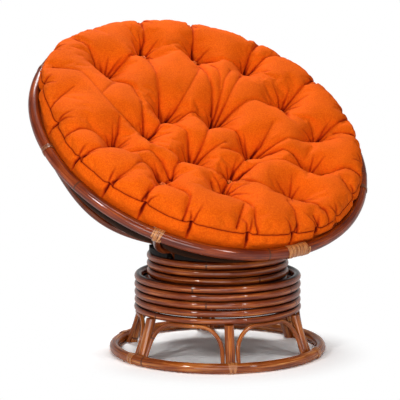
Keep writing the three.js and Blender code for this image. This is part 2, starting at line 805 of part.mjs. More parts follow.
function tuftPlace(letter) {
  const { acrossShare, upShare } = tuftShares[letter];
  return new THREE.Vector3(acrossShare, upShare, 0).multiplyScalar(rimRadius);
}

const tufts = Object.keys(tuftShares).map((letter) => ({
  place: tuftPlace(letter),
  depth: tuftDepth * tuftShares[letter].depthShare,
}));

const folds = [
  ...tuftFolds.map(([from, to]) => new THREE.Line3(tuftPlace(from), tuftPlace(to))),
  ...seamFolds.map(({ tuft, deg }) => new THREE.Line3(tuftPlace(tuft), fromBack(seamRadius(deg), deg))),
];

function faceHeight(place, share) {
  const flat = place.clone().setZ(0);
  const shoulder = Math.sqrt(Math.max(0, 1 - share ** cushionCrownFlatness));
  const dish = cushionFaceDish * (1 - share * share);
  const gaps = folds.map((fold) => {
    const nearest = fold.closestPointToPoint(flat, true, new THREE.Vector3());
    return nearest.distanceTo(flat);
  });
  const puff = puffHeight * (1 - Math.exp(-Math.min(...gaps) / puffReach));
  const dips = tufts.map((tuft) => {
    const near = Math.max(0, 1 - tuft.place.distanceTo(flat) / tuftReach);
    return tuft.depth * near ** tuftSharpness;
  });
  return cushionSeamHeight + (cushionCrown + puff) * shoulder - dish - Math.max(...dips);
}

function facePoint(degrees, share) {
  const seam = seamRadius(degrees);
  const point = fromBack(seam * share, degrees);
  point.setZ(faceHeight(point, share));
  const swell = Math.sin(Math.PI * Math.max(0, (share - 1 + shoulderShare) / shoulderShare));
  return point.addScaledVector(fromBack(shoulderBulge, degrees), swell);
}

// A point of the boxed wall, pushed clear of the rim and its wraps
function wallPoint(degrees, share) {
  const seam = seamRadius(degrees);
  const bulge = cushionBulge * Math.sin(Math.PI * Math.sqrt(share));
  const radius = seam + (sideRadius - seam) * share + bulge;
  const height = cushionSeamHeight * (1 - share);
  const away = Math.hypot(radius - rimRadius, height);
  const push = Math.max(1, rimKeepOut / away);
  return fromBack(rimRadius + (radius - rimRadius) * push, degrees).setZ(height * push);
}

// How deep the underside lies at a point of the bowl's plane, as a share of its depth at the middle
function sagShare(point) {
  const share = Math.min(1, Math.hypot(point.x, point.y) / sideRadius);
  return (1 - share * share) ** cushionSagRoundness * (1 + (cushionBackSag * point.y) / sideRadius);
}

// The cushion sinks into the bowl until its underside meets the first rib or the board
function restDepth() {
  const toBowl = bowl.matrix.clone().invert();
  const depths = supports.flatMap((corner) => {
    const point = corner.clone().applyMatrix4(toBowl);
    const sag = sagShare(point);
    return sag > 0 ? [-(point.z + clearance) / sag] : [];
  });
  return Math.min(...depths);
}

function cushionLoops() {
  const loops = [];
  for (let ring = 1; ring <= faceRings; ring += 1) {
    const share = (ring / faceRings) ** faceRingSpread;
    loops.push((degrees) => facePoint(degrees, share));
  }
  for (let ring = 1; ring <= wallRings; ring += 1) {
    loops.push((degrees) => wallPoint(degrees, ring / wallRings));
  }
  const depth = restDepth();
  for (let ring = 1; ring <= bottomRings; ring += 1) {
    const radius = sideRadius * Math.cos((Math.PI / 2) * (ring / (bottomRings + 1)));
    loops.push((degrees) => {
      const point = fromBack(radius, degrees);
      return point.setZ(-depth * sagShare(point));
    });
  }
  const middle = new THREE.Vector3();
  const centres = [faceHeight(middle, 0), -depth];
  return { loops, centres: centres.map((height) => new THREE.Vector3(0, 0, height)) };
}

function buildCushion() {
  const { loops, centres } = cushionLoops();
  const turns = Array.from({ length: cushionSteps }, (_, step) => -(step * 360) / cushionSteps);
  const points = loops.flatMap((place) => turns.map(place));
  const top = points.length;
  points.push(...centres);
  const faces = [];
  for (let step = 0; step < cushionSteps; step += 1) {
    const next = (step + 1) % cushionSteps;
    const last = (loops.length - 1) * cushionSteps;
    faces.push([top, step, next], [top + 1, last + next, last + step]);
    for (let ring = 0; ring < loops.length - 1; ring += 1) {
      const here = ring * cushionSteps;
      const below = here + cushionSteps;
      faces.push([here + step, below + step, below + next]);
      faces.push([here + step, below + next, here + next]);
    }
  }
  const positions = points.flatMap((point) => [point.x, point.y, point.z]);
  addPiece(bowl, 'cushion', bodyFromFaces(positions, faces), finish(cushionOrange, 0.9, 0));
}

buildRings();
buildLegs();
buildArches();
buildStraps();
buildCrossBars();
buildSwivel();
buildSprings();
buildUpperDrum();
buildSeatBoard();
buildRim();
buildRibs();
buildCushion();

export default chair;
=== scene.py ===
import math
from functools import partial

import bpy
import numpy as np
from mathutils import Euler, Matrix, Vector
from mathutils.bvhtree import BVHTree


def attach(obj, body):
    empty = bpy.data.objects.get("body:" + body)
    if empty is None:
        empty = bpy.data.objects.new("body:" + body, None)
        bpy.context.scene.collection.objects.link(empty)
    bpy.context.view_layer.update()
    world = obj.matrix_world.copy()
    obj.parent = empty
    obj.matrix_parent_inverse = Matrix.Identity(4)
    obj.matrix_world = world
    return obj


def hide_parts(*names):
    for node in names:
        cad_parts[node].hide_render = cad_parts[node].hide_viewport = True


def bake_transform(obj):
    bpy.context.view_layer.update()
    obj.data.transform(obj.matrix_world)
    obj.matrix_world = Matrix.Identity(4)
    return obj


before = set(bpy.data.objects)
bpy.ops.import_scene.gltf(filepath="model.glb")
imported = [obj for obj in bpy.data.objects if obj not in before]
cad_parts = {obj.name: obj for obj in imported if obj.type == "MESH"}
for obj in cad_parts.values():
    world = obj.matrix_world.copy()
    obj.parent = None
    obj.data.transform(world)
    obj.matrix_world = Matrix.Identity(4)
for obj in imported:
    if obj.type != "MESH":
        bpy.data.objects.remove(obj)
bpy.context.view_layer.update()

# Sizes in millimetres, on the solids' own datum: the floor under the middle of the rim.
MM = 0.001
UP = np.array([0, 0, 1.0])
BASE_Y = -104.6
RIM_HEIGHT = 661
RIM_TILT = math.radians(35.66)
RIM_RADIUS = 532.5
RIM_CANE = 35
UPPER_DRUM_RADIUS = 207.5
UPPER_DRUM_CANE = 24.2
UPPER_DRUM_HEIGHTS = [302.0, 277.5, 253.0, 228.5]
LOWER_DRUM_RADIUS = 245.9
LOWER_DRUM_CANE = 24
LOWER_DRUM_HEIGHTS = [237.0, 212.7, 188.4, 164.1]
FOOT_RING_RADIUS = 248.9
FOOT_RING_CANE = 20.5
FOOT_RING_HEIGHT = 141.55
FLOOR_RING_RADIUS = 320.7
FLOOR_RING_CANE = 31
FLOOR_RING_HEIGHT = 16
LEG_COUNT = 6
FIRST_LEG = -22.5
LEG_CANE = 29
LEG_TOP = 131.0
LEG_FOOT = 0.3
LEG_FOOT_RADIUS = 292.0
LEG_TOP_RADIUS = 252.9
ARCH_CANE = 13
ARCH_TOP = 124.5
ARCH_LOW = 15.5
ARCH_LOW_RADIUS = 293.7
ARCH_TOP_RADIUS = 248.8
ARCH_FOOT = 4
ARCH_BESIDE_LEG = 23.5
ARCH_CORNER_WIDTH = 62
ARCH_CORNER_HEIGHT = 70
RIB_CANE = 24
RIB_FACE = 22.65
RIB_STUB = 6
RIB_BEND = 38
RIB_BEND_HEIGHT = 306
RIB_POST_RADIUS = 182.5
RIB_FOOT = 219.4
KNUCKLE_GAP = 0.62
KNUCKLE_HALF = 0.005
KNUCKLE_SWELL = 0.03
PATH_STEP = 7

# Each rib: rim angle, drum angle, lean at the rim, slope at the drum, and how far its curve runs
# out from each end.
RIBS = [
    (-87, -127, 34.7, 10.9, 0.51, 0.4),
    (-39, -72, 42, 0, 0.3, 0.3),
    (8.5, -15, 40, 0, 0.2, 0.3),
    (56.5, 35, 40, 6, 0.22, 0.3),
    (100, 78, 38, 12, 0.3, 0.34),
    (143, 118, 36, 16, 0.36, 0.36),
    (186, 155, 36, 18, 0.38, 0.38),
    (230, 193, 36, 16, 0.4, 0.38),
]


# Bringing measurements together


def outward(degrees):
    """The level direction at that angle, from the front towards the sitter's left."""
    turn = math.radians(degrees)
    return np.array([math.sin(turn), -math.cos(turn), 0.0])


def on_base(radius, degrees, height):
    """A point round the upright axis of the base."""
    return outward(degrees) * radius + np.array([0, BASE_Y, height])


def tilted(points):
    """Points of the tilted bowl, in the room."""
    points = np.asarray(points, float)
    x, y, z = points[..., 0], points[..., 1], points[..., 2]
    c, s = math.cos(RIM_TILT), math.sin(RIM_TILT)
    return np.stack([x, y * c - z * s, y * s + z * c + RIM_HEIGHT], axis=-1)


def tilted_way(direction):
    """A direction of the tilted bowl, in the room."""
    return tilted(direction) - tilted(np.zeros(3))


def in_bowl(points):
    """Points of the room, in the tilted bowl's own frame."""
    points = np.asarray(points, float)
    x, y, z = points[..., 0], points[..., 1], points[..., 2] - RIM_HEIGHT
    c, s = math.cos(RIM_TILT), math.sin(RIM_TILT)
    return np.stack([x, y * c + z * s, z * c - y * s], axis=-1)


def unit(ways):
    """The same directions, each one long."""
    return ways / np.linalg.norm(ways, axis=-1, keepdims=True)


def bell(distance, reach):
    """1 where the distance is 0, fading to 0 past its reach."""
    return np.exp(-((distance / reach) ** 2))


def linear(colour):
    """An sRGB hex colour as the linear values that a shader takes."""
    channels = [int(colour[i : i + 2], 16) / 255 for i in (0, 2, 4)]
    return [c / 12.92 if c <= 0.04045 else ((c + 0.055) / 1.055) ** 2.4 for c in channels] + [1]


# Handling pieces


def set_all(thing, settings):
    """Sets the named properties of a node, modifier, curve or lamp."""
    for key, value in settings.items():
        setattr(thing, key, value)


def only(piece):
    """Selects one piece alone, for the next tool."""
    bpy.ops.object.select_all(action="DESELECT")
    piece.select_set(True)
    bpy.context.view_layer.objects.active = piece


def begun(primitive, name, **settings):
    """A new primitive with nothing else selected, ready to be shaped."""
    bpy.ops.object.select_all(action="DESELECT")
    primitive(**settings)
    piece = bpy.context.object
    piece.name = name
    return piece


def apply(piece, kind, **settings):
    """Adds a modifier with its settings and applies it."""
    only(piece)
    modifier = piece.modifiers.new(kind.title(), kind)
    set_all(modifier, settings)
    bpy.ops.object.modifier_apply(modifier=modifier.name)


def joined(name, pieces):
    """Several pieces made one."""
    only(pieces[0])
    for piece in pieces[1:]:
        piece.select_set(True)
    if len(pieces) > 1:
        bpy.ops.object.join()
    pieces[0].name = name
    return pieces[0]


def points_of(mesh, kind="co"):
    """Every point's place, or its normal, as rows of three."""
    values = np.empty(len(mesh.vertices) * 3, np.float32)
    mesh.vertices.foreach_get(kind, values)
    return values.reshape(-1, 3).astype(float)


def set_points(mesh, points):
    mesh.vertices.foreach_set("co", np.asarray(points, np.float32).ravel())
    mesh.update()


def measure_map(mesh, length, width=1, offset=0):
    """Turns a map from shares of a strip or pole into metres along it and across it."""
    layer = mesh.uv_layers[0]
    layer.name = "UVMap"
    values = np.empty(len(layer.data) * 2, np.float32)
    layer.data.foreach_get("uv", values)
    values[0::2] = values[0::2] * length + offset
    values[1::2] *= width
    layer.data.foreach_set("uv", values)


def give(piece, material):
    piece.data.materials.clear()
    piece.data.materials.append(material)


def mount(piece, body, slot, material, *nodes):
    """Fits a finished piece to its body, in place of the plain solids it stands for."""
    give(piece, material)
    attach(piece, body)
    if nodes:
        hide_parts(*nodes)


# Finishes

MULTIPLIED = {"data_type": "RGBA", "blend_type": "MULTIPLY"}


def link(node, links):
    """Links inputs, by name or number, to other sockets or to other nodes' first outputs."""
    for key, source in links.items():
        node.id_data.links.new(getattr(source, "outputs", [source])[0], node.inputs[key])


def add(tree, kind, links=None, values=None, stops=(), **settings):
    """Adds a node with its settings, its inputs' values and links, and its (place, hex) stops."""
    node = tree.nodes.new(kind)
    set_all(node, settings)
    for key, value in (values or {}).items():
        node.inputs[key].default_value = value
    link(node, links or {})
    for number, (place, colour) in enumerate(stops):
        elements = node.color_ramp.elements
        element = elements[number] if number < len(elements) else elements.new(place)
        element.position = place
        element.color = linear(colour)
    return node


def cleared(holder, output):
    """Empties the nodes of a material or of the world: what adds a node there, and a new output."""
    holder.use_nodes = True
    holder.node_tree.nodes.clear()
    put = partial(add, holder.node_tree)
    return put, put(output)


def blank(name, **values):
    """A new material with only its output and one shader."""
    material = bpy.data.materials.new(name)
    put, output = cleared(material, "ShaderNodeOutputMaterial")
    named = {key.replace("_", " "): value for key, value in values.items()}
    shader = put("ShaderNodeBsdfPrincipled", values=named)
    link(output, {0: shader})
    return material, put, shader


def lacquered_cane(name, shade, middle, bright, shade_between_hoops=False, gloss=0.28):
    """Rattan pole, stained red-brown and lacquered: streaked, ringed at each knuckle, wet shine."""
    material, put, shader = blank(
        name, Specular_IOR_Level=0.06, Coat_Weight=gloss, Coat_IOR=2.0, Coat_Roughness=0.09
    )
    place = put("ShaderNodeUVMap", uv_map="UVMap")
    parts = put("ShaderNodeSeparateXYZ", {0: place})
    along, around = parts.outputs[:2]
    turn = put("ShaderNodeMath", {0: around}, {1: 2 * math.pi}, operation="MULTIPLY")
    across = put("ShaderNodeMath", {0: turn}, operation="COSINE")
    upright = put("ShaderNodeMath", {0: turn}, operation="SINE")
    skin = put("ShaderNodeCombineXYZ", {0: along, 1: across, 2: upright})
    # Fibres are about 1.5 mm wide; drawn 3 mm wide and 150 mm long so that they show.
    noises = []
    for size, values in (
        ((7, 4.5, 4.5), {"Detail": 5, "Roughness": 0.7}),
        ((11, 0.7, 0.7), {"Detail": 2}),
    ):
        sized = put("ShaderNodeVectorMath", {0: skin}, {1: size}, operation="MULTIPLY")
        noises.append(put("ShaderNodeTexNoise", {0: sized}, {"Scale": 1, **values}))
    fibre, blotch = noises
    shades = ((0.3, shade), (0.5, middle), (0.72, bright))
    tone = put("ShaderNodeValToRGB", {0: fibre}, stops=shades)
    depth = put("ShaderNodeValToRGB", {0: blotch}, stops=((0.35, "b09080"), (0.62, "ffffff")))
    stained = put("ShaderNodeMix", {6: tone, 7: depth}, {0: 0.75}, **MULTIPLIED)
    if shade_between_hoops:
        # Painted shade darkens each tube where one hoop lies on the next. The tube's map starts
        # 22.5 degrees under its inner side.
        from_side = {1: 2 * math.pi, 2: math.radians(22.5)}
        turn = put("ShaderNodeMath", {0: around}, from_side, operation="MULTIPLY_ADD")
        height = put("ShaderNodeMath", {0: turn}, operation="SINE")
        touching = put("ShaderNodeMath", {0: height}, operation="ABSOLUTE")
        shades = ((0.6, "ffffff"), (0.95, "4a2a1e"))
        painted_gap_shade = put("ShaderNodeValToRGB", {0: touching}, stops=shades)
        stained = put("ShaderNodeMix", {6: stained.outputs[2], 7: painted_gap_shade}, {0: 1}, **MULTIPLIED)
    # A knuckle stands every 620 mm, with a dark ring about 5 mm wide.
    wrapped = put("ShaderNodeMath", {0: along}, {1: KNUCKLE_GAP / 2}, operation="PINGPONG")
    ring = put("ShaderNodeMapRange", {0: wrapped}, {"From Min": 0.0012, "From Max": 0.004})
    dark = {6: linear("562812")}
    knuckle = put("ShaderNodeMix", {0: ring, 7: stained.outputs[2]}, dark, data_type="RGBA")
    rough = put("ShaderNodeMapRange", {0: fibre}, {"To Min": 0.34, "To Max": 0.5})
    grain = put("ShaderNodeBump", {"Height": fibre}, {"Strength": 0.35, "Distance": 0.0012})
    link(shader, {"Base Color": knuckle.outputs[2], "Roughness": rough, "Normal": grain})
    return material


def grained(name, stretch, detail, stops, rough=None, bump=None, own_map=False, **values):
    """One noise, stretched along the grain, that gives a finish its tone, gloss and relief."""
    material, put, shader = blank(name, **values)
    if own_map:
        place = put("ShaderNodeUVMap", uv_map="UVMap").outputs[0]
    else:
        place = put("ShaderNodeTexCoord").outputs["Object"]
    sized = put("ShaderNodeVectorMath", {0: place}, {1: stretch}, operation="MULTIPLY")
    grain = put("ShaderNodeTexNoise", {0: sized}, {"Scale": 1, "Detail": detail})
    links = {"Base Color": put("ShaderNodeValToRGB", {0: grain}, stops=stops)}
    if rough:
        ends = {"To Min": rough[0], "To Max": rough[1]}
        links["Roughness"] = put("ShaderNodeMapRange", {0: grain}, ends)
    if bump:
        ends = {"Strength": bump[0], "Distance": bump[1]}
        links["Normal"] = put("ShaderNodeBump", {"Height": grain}, ends)
    link(shader, links)
    return material


def cane_peel(name, shade, middle, bright):
    """Rattan peel, the split outer skin used for binding: silky, with fine lines along it."""
    # Its lines lie about 1 mm apart and run the length of the strip.
    stops = ((0.3, shade), (0.5, middle), (0.7, bright))
    coat = {"Coat_Weight": 0.4, "Coat_Roughness": 0.2}
    return grained(name, (25, 900, 1), 3, stops, (0.3, 0.5), (0.4, 0.0006), own_map=True, **coat)


def cotton_canvas():
    """Cover of dyed plain-weave cotton: matt, with painted shade along its folds and seam, and a
    faint nap.
    """
    nap = {"Sheen_Weight": 0.05, "Sheen_Roughness": 0.5, "Sheen_Tint": linear("ff8a30")}
    material, put, shader = blank("dyed_cotton_canvas", Specular_IOR_Level=0.06, **nap)
    place = put("ShaderNodeTexCoord").outputs["Object"]
    # Yarns lie 0.6 mm apart; drawn 2.4 mm apart so that the weave shows.
    size = {"Scale": 2 * math.pi / 0.0048}
    weave = put("ShaderNodeVectorMath", {0: place}, size, operation="SCALE")
    axes = put("ShaderNodeSeparateXYZ", {0: weave}).outputs
    waves = []
    for first, second in ((0, 1), (1, 2), (2, 0)):
        over = put("ShaderNodeMath", {0: axes[first]}, operation="SINE")
        under = put("ShaderNodeMath", {0: axes[second]}, operation="COSINE")
        waves.append(put("ShaderNodeMath", {0: over, 1: under}, operation="MULTIPLY"))
    pair = put("ShaderNodeMath", {0: waves[0], 1: waves[1]}, operation="ADD")
    threads = put("ShaderNodeMath", {0: pair, 1: waves[2]}, operation="ADD")
    size = {"Scale": 260, "Detail": 4, "Roughness": 0.7}
    slub = put("ShaderNodeTexNoise", {0: place}, size)
    fade = put("ShaderNodeTexNoise", {0: place}, {"Scale": 9, "Detail": 3})
    dyes = ((0.3, "d84c03"), (0.5, "e65c07"), (0.7, "f26e0e"))
    cloth = put("ShaderNodeValToRGB", {0: slub}, stops=dyes).outputs[0]
    # Wear pales it in faint random patches, painted shade darkens the folds, and a line of painted
    # shade about 2 mm wide runs along the seam's groove.
    fold = put("ShaderNodeAttribute", attribute_name="fold_shade").outputs["Fac"]
    edge = put("ShaderNodeAttribute", attribute_name="past_seam").outputs["Fac"]
    close = put("ShaderNodeMath", {0: edge}, operation="ABSOLUTE")
    for source, stops in (
        (fade, ((0.35, "f0f0f0"), (0.65, "ffffff"))),
        (fold, ((0.0, "ffffff"), (0.5, "cc9c86"), (1.0, "743824"))),
        (close, ((0.04, "8a5340"), (0.13, "e8dad0"), (0.4, "ffffff"))),
    ):
        tint = put("ShaderNodeValToRGB", {0: source}, stops=stops)
        mix = put("ShaderNodeMix", {6: cloth, 7: tint}, {0: 1}, **MULTIPLIED)
        cloth = mix.outputs[2]
    # Painted shade: the underside, from just under the foot of the boxed side, is coloured near
    # black.
    shaded_underside = put("ShaderNodeAttribute", attribute_name="underside_shade").outputs["Fac"]
    black = {7: linear("110c0a")}
    mix = put("ShaderNodeMix", {0: shaded_underside, 6: cloth}, black, data_type="RGBA")
    yarn = put("ShaderNodeBump", {"Height": threads}, {"Strength": 0.25, "Distance": 0.0004})
    size = {"Strength": 0.5, "Distance": 0.0008}
    fluff = put("ShaderNodeBump", {"Height": slub, "Normal": yarn}, size)
    rough = put("ShaderNodeMapRange", {0: slub}, {"To Min": 0.78, "To Max": 0.95})
    link(shader, {"Base Color": mix.outputs[2], "Roughness": rough, "Normal": fluff})
    return material


RIM_FINISH = lacquered_cane("lacquered_rattan_rim", "4c1403", "842f07", "bc5a14", gloss=0.3)
# Its hoops carry painted shade where each lies on the next.
DRUM_FINISH = lacquered_cane("lacquered_rattan_drum", "421603", "983f0d", "ea944c", shade_between_hoops=True)
LEG_FINISH = lacquered_cane("lacquered_rattan_leg", "561f06", "ac5414", "f0a85c")
RIB_FINISH = lacquered_cane("lacquered_rattan_rib", "361205", "74300e", "a85624")
PEEL = cane_peel("tan_rattan_peel", "6a3212", "b86c30", "e6b070")
STAINED_PEEL = cane_peel("stained_rattan_peel", "3c1a0c", "7c3e1c", "b0703c")
CANVAS = cotton_canvas()
# Waxed twine in the cover's colour, whose lay shows as fine specks of light and dark.
SPECKS = ((0.35, "d65a0c"), (0.65, "ff8a2a"))
TWINE = grained(
    "waxed_cotton_twine", (900, 900, 900), 2, SPECKS, bump=(0.5, 0.0004), Roughness=0.55
)
# Satin black paint, through which the grain just shows, and sawn stained bars with open grain.
PAINT = ((0.3, "0d0a09"), (0.7, "1d1714"))
STAIN = ((0.3, "5f381c"), (0.5, "8a5a34"), (0.7, "a5744a"))
WOOD = {"bump": (0.35, 0.0005), "Specular_IOR_Level": 0.12}
BOARD = grained("black_painted_plywood", (14, 220, 220), 4, PAINT, (0.6, 0.8), **WOOD)
TIMBER = grained("stained_rubberwood_bar", (9, 260, 260), 4, STAIN, (0.55, 0.7), **WOOD)
# Steel with a thin finish: dull metal with the cloudy bloom of the bath.
BLOOM = (70, 70, 70)
ZINC = ((0.3, "84868a"), (0.7, "a4a6aa"))
OILED = ((0.3, "3e3f42"), (0.7, "606266"))
PLATE = grained("zinc_plated_steel", BLOOM, 4, ZINC, (0.3, 0.5), Metallic=1)
SPRING = grained("oil_hardened_spring_steel", BLOOM, 4, OILED, (0.28, 0.42), Metallic=1)


# Canes

HOOP_STEPS = 180
SMOOTH_TO = math.radians(50)
LEG_ANGLES = [FIRST_LEG + leg * 360 / LEG_COUNT for leg in range(LEG_COUNT)]


def even_steps(route, closed):
    """The route again, in even steps of PATH_STEP, with each step's distance along it."""
    route = np.asarray(route, float)
    if closed:
        route = np.vstack([route, route[:1]])
    reach = np.concatenate([[0], np.cumsum(np.linalg.norm(np.diff(route, axis=0), axis=1))])
    count = max(2, round(reach[-1] / PATH_STEP))
    along = np.linspace(0, reach[-1], count + 1)
    path = np.stack([np.interp(along, reach, route[:, k]) for k in range(3)], axis=1)
    if closed:
        return path[:-1], along[:-1], reach[-1]
    return path, along, reach[-1]


def bent_cane(name, route, thickness, offset, closed=False, facets=6):
    """A cane bent along a route: a round section, swelling a little at each knuckle."""
    path, along, length = even_steps(route, closed)
    cane = begun(bpy.ops.curve.primitive_nurbs_path_add, name)
    curve = cane.data
    curve.splines.clear()
    line = curve.splines.new("POLY")
    line.points.add(len(path) - 1)
    line.points.foreach_set("co", np.column_stack([path * MM, np.ones(len(path))]).ravel())
    place = (along * MM + offset) % KNUCKLE_GAP
    near = np.minimum(place, KNUCKLE_GAP - place)
    line.points.foreach_set("radius", 1 + KNUCKLE_SWELL * bell(near, KNUCKLE_HALF))
    line.use_cyclic_u = closed
    curve.bevel_depth = thickness / 2 * MM
    curve.bevel_resolution = facets
    curve.use_fill_caps = not closed
    only(cane)
    bpy.ops.object.convert(target="MESH")
    cane = bpy.context.object
    measure_map(cane.data, length * MM, offset=offset)
    bpy.ops.object.shade_smooth_by_angle(angle=SMOOTH_TO)
    return cane


def hooped_cane(name, point_at, thickness, offset):
    """A cane bent once round, begun at the back where it is spliced."""
    route = [point_at(180 + 360 * step / HOOP_STEPS) for step in range(HOOP_STEPS)]
    return bent_cane(name, route, thickness, offset, closed=True)


def make_rim():
    rim = hooped_cane(
        "rim_hoop", lambda degrees: tilted(outward(degrees) * RIM_RADIUS), RIM_CANE, 0.21
    )
    mount(rim, "rocker", "rattan_cane", RIM_FINISH, "rim")


def level_hoop(name, node, body, finish, height, radius, thickness, offset):
    """A hoop that lies level round the base's axis, on its body."""
    ring = hooped_cane(name, lambda degrees: on_base(radius, degrees, height), thickness, offset)
    mount(ring, body, "rattan_cane", finish, node)


def make_drums():
    """Two stacks of hoops, each with its knuckles out of step, and a thinner hoop under them."""
    for index, height in enumerate(UPPER_DRUM_HEIGHTS):
        size = (height, UPPER_DRUM_RADIUS, UPPER_DRUM_CANE, 0.11 + 0.23 * index)
        names = (f"upper_drum_cane_{index + 1}", f"upper_drum_ring_{index + 1}")
        level_hoop(*names, "rocker", DRUM_FINISH, *size)
    sizes = [
        (height, LOWER_DRUM_RADIUS, LOWER_DRUM_CANE, 0.05 + 0.29 * index)
        for index, height in enumerate(LOWER_DRUM_HEIGHTS)
    ]
    sizes.append((FOOT_RING_HEIGHT, FOOT_RING_RADIUS, FOOT_RING_CANE, 0.17))
    for number, size in enumerate(sizes, 1):
        names = (f"lower_drum_cane_{number}", f"lower_drum_ring_{number}")
        level_hoop(*names, "base", DRUM_FINISH, *size)


def make_floor_ring():
    size = (FLOOR_RING_HEIGHT, FLOOR_RING_RADIUS, FLOOR_RING_CANE, 0.02)
    level_hoop("floor_cane", "floor_ring", "base", LEG_FINISH, *size)


def make_legs():
    """Straight poles, made too long, then sawn level just off the floor and under the drum."""
    for leg, degrees in enumerate(LEG_ANGLES):
        low = on_base(LEG_FOOT_RADIUS, degrees, 0)
        high = on_base(LEG_TOP_RADIUS, degrees, LEG_TOP)
        spare = (high - low) * 0.1
        route = [low - spare, high + spare]
        pole = bent_cane(f"leg_pole_{leg + 1}", route, LEG_CANE, 0.07 + 0.13 * leg)
        for height, facing in ((LEG_FOOT, -1), (LEG_TOP, 1)):
            bpy.ops.object.mode_set(mode="EDIT")
            bpy.ops.mesh.select_all(action="SELECT")
            plane = {"plane_co": (0, 0, height * MM), "plane_no": (0, 0, facing)}
            bpy.ops.mesh.bisect(**plane, use_fill=True, clear_outer=True)
            bpy.ops.object.mode_set(mode="OBJECT")
        bpy.ops.object.shade_smooth_by_angle(angle=SMOOTH_TO)
        mount(pole, "base", "rattan_cane", LEG_FINISH, f"leg_{leg + 1}")


def arch_side(leg_degrees, direction):
    """One side of an arch: up beside its leg, then round the corner to the flat top."""
    corner = ARCH_TOP - ARCH_CORNER_HEIGHT
    stops = [(ARCH_FOOT + (corner - ARCH_FOOT) * k / 6, ARCH_BESIDE_LEG) for k in range(6)]
    for k in range(17):
        turn = math.pi / 2 * k / 16
        height = corner + ARCH_CORNER_HEIGHT * math.sin(turn)
        stops.append((height, ARCH_BESIDE_LEG + ARCH_CORNER_WIDTH * (1 - math.cos(turn))))
    side = []
    for height, offset in stops:
        share = (height - ARCH_LOW) / (ARCH_TOP - ARCH_LOW)
        radius = ARCH_LOW_RADIUS + (ARCH_TOP_RADIUS - ARCH_LOW_RADIUS) * share
        side.append((radius, leg_degrees + direction * math.degrees(offset / radius), height))
    return side


def make_arches():
    for arch, start in enumerate(LEG_ANGLES):
        rise = arch_side(start, 1)
        fall = arch_side(start + 360 / LEG_COUNT, -1)[::-1]
        level = [
            (ARCH_TOP_RADIUS, rise[-1][1] + (fall[0][1] - rise[-1][1]) * k / 12, ARCH_TOP)
            for k in range(1, 12)
        ]
        route = [on_base(*stop) for stop in rise + level + fall]
        cane = bent_cane(f"arch_cane_{arch + 1}", route, ARCH_CANE, 0.19 + 0.07 * arch, facets=4)
        mount(cane, "base", "rattan_cane", LEG_FINISH, f"arch_{arch + 1}")


def rib_route(rim_degrees, drum_degrees, lean, slope, rise_share, run_share):
    """A rib's middle line: off the rim, swept over the drum's top cane, then down inside it."""
    lean, slope = math.radians(lean), math.radians(slope)
    leave = UP * -math.cos(lean) - outward(rim_degrees) * math.sin(lean)
    start = outward(rim_degrees) * RIM_RADIUS + leave * RIB_FACE
    start, leave = tilted(start), tilted(start + leave) - tilted(start)
    bend_from = start + leave * RIB_STUB
    out = outward(drum_degrees)
    centre = on_base(RIB_POST_RADIUS + RIB_BEND, drum_degrees, RIB_BEND_HEIGHT)
    first = math.pi / 2 + slope
    over = centre + out * RIB_BEND * math.cos(first) + UP * RIB_BEND * math.sin(first)
    reach = np.linalg.norm(bend_from - over)
    arrive = out * math.cos(slope) + UP * math.sin(slope)
    first_handle, second_handle = leave * reach * rise_share, arrive * reach * run_share
    handles = [bend_from, bend_from + first_handle, over + second_handle, over]
    route = [start]
    for t in np.linspace(0, 1, 60):
        weights = [(1 - t) ** 3, 3 * t * (1 - t) ** 2, 3 * t * t * (1 - t), t**3]
        route.append(sum(w * h for w, h in zip(weights, handles)))
    for turn in np.linspace(first, math.pi, 12)[1:]:
        route.append(centre + out * RIB_BEND * math.cos(turn) + UP * RIB_BEND * math.sin(turn))
    route.append(on_base(RIB_POST_RADIUS, drum_degrees, RIB_FOOT))
    return route


def make_ribs():
    for index, rib in enumerate(RIBS):
        cane = bent_cane(f"rib_cane_{index + 1}", rib_route(*rib), RIB_CANE, 0.08 + 0.15 * index)
        mount(cane, "rocker", "rattan_cane", RIB_FINISH, f"rib_{index + 1}")


# Peel bindings

PEEL_THICKNESS = 1.3
TURN_STEPS = 24
LOOP_STEPS = 40
LOOP_OVERLAP = 1.02
COLLAR_WIDTH = 6
TIE_WIDTH = 6.2
TIE_STEPS = 20


def peel_strip(name, middles, outwards, widths):
    """A strip of peel laid along a path: a long grid, set on the path, then given its thickness."""
    middles = np.asarray(middles, float)
    outwards = unit(np.asarray(outwards, float))
    aside = unit(np.cross(outwards, unit(np.gradient(middles, axis=0))))
    count = len(middles)
    widths = np.broadcast_to(widths, count)
    strip = begun(
        bpy.ops.mesh.primitive_grid_add, name, x_subdivisions=count - 1, y_subdivisions=3, size=1
    )
    rows = [
        middles + aside * (widths * share)[:, None] + outwards * dip
        for share, dip in ((-0.5, -0.35), (-0.28, 0), (0.28, 0), (0.5, -0.35))
    ]
    grid = points_of(strip.data)
    placed = np.empty_like(grid)
    placed[np.lexsort((grid[:, 0], grid[:, 1]))] = np.concatenate(rows) * MM
    reach = np.linalg.norm(np.diff(middles, axis=0), axis=1).sum() * MM
    measure_map(strip.data, reach, float(np.mean(widths)) * MM)
    set_points(strip.data, placed)
    apply(strip, "SOLIDIFY", thickness=PEEL_THICKNESS * MM, offset=-1)
    bpy.ops.object.shade_smooth_by_angle(angle=math.radians(40))
    return strip


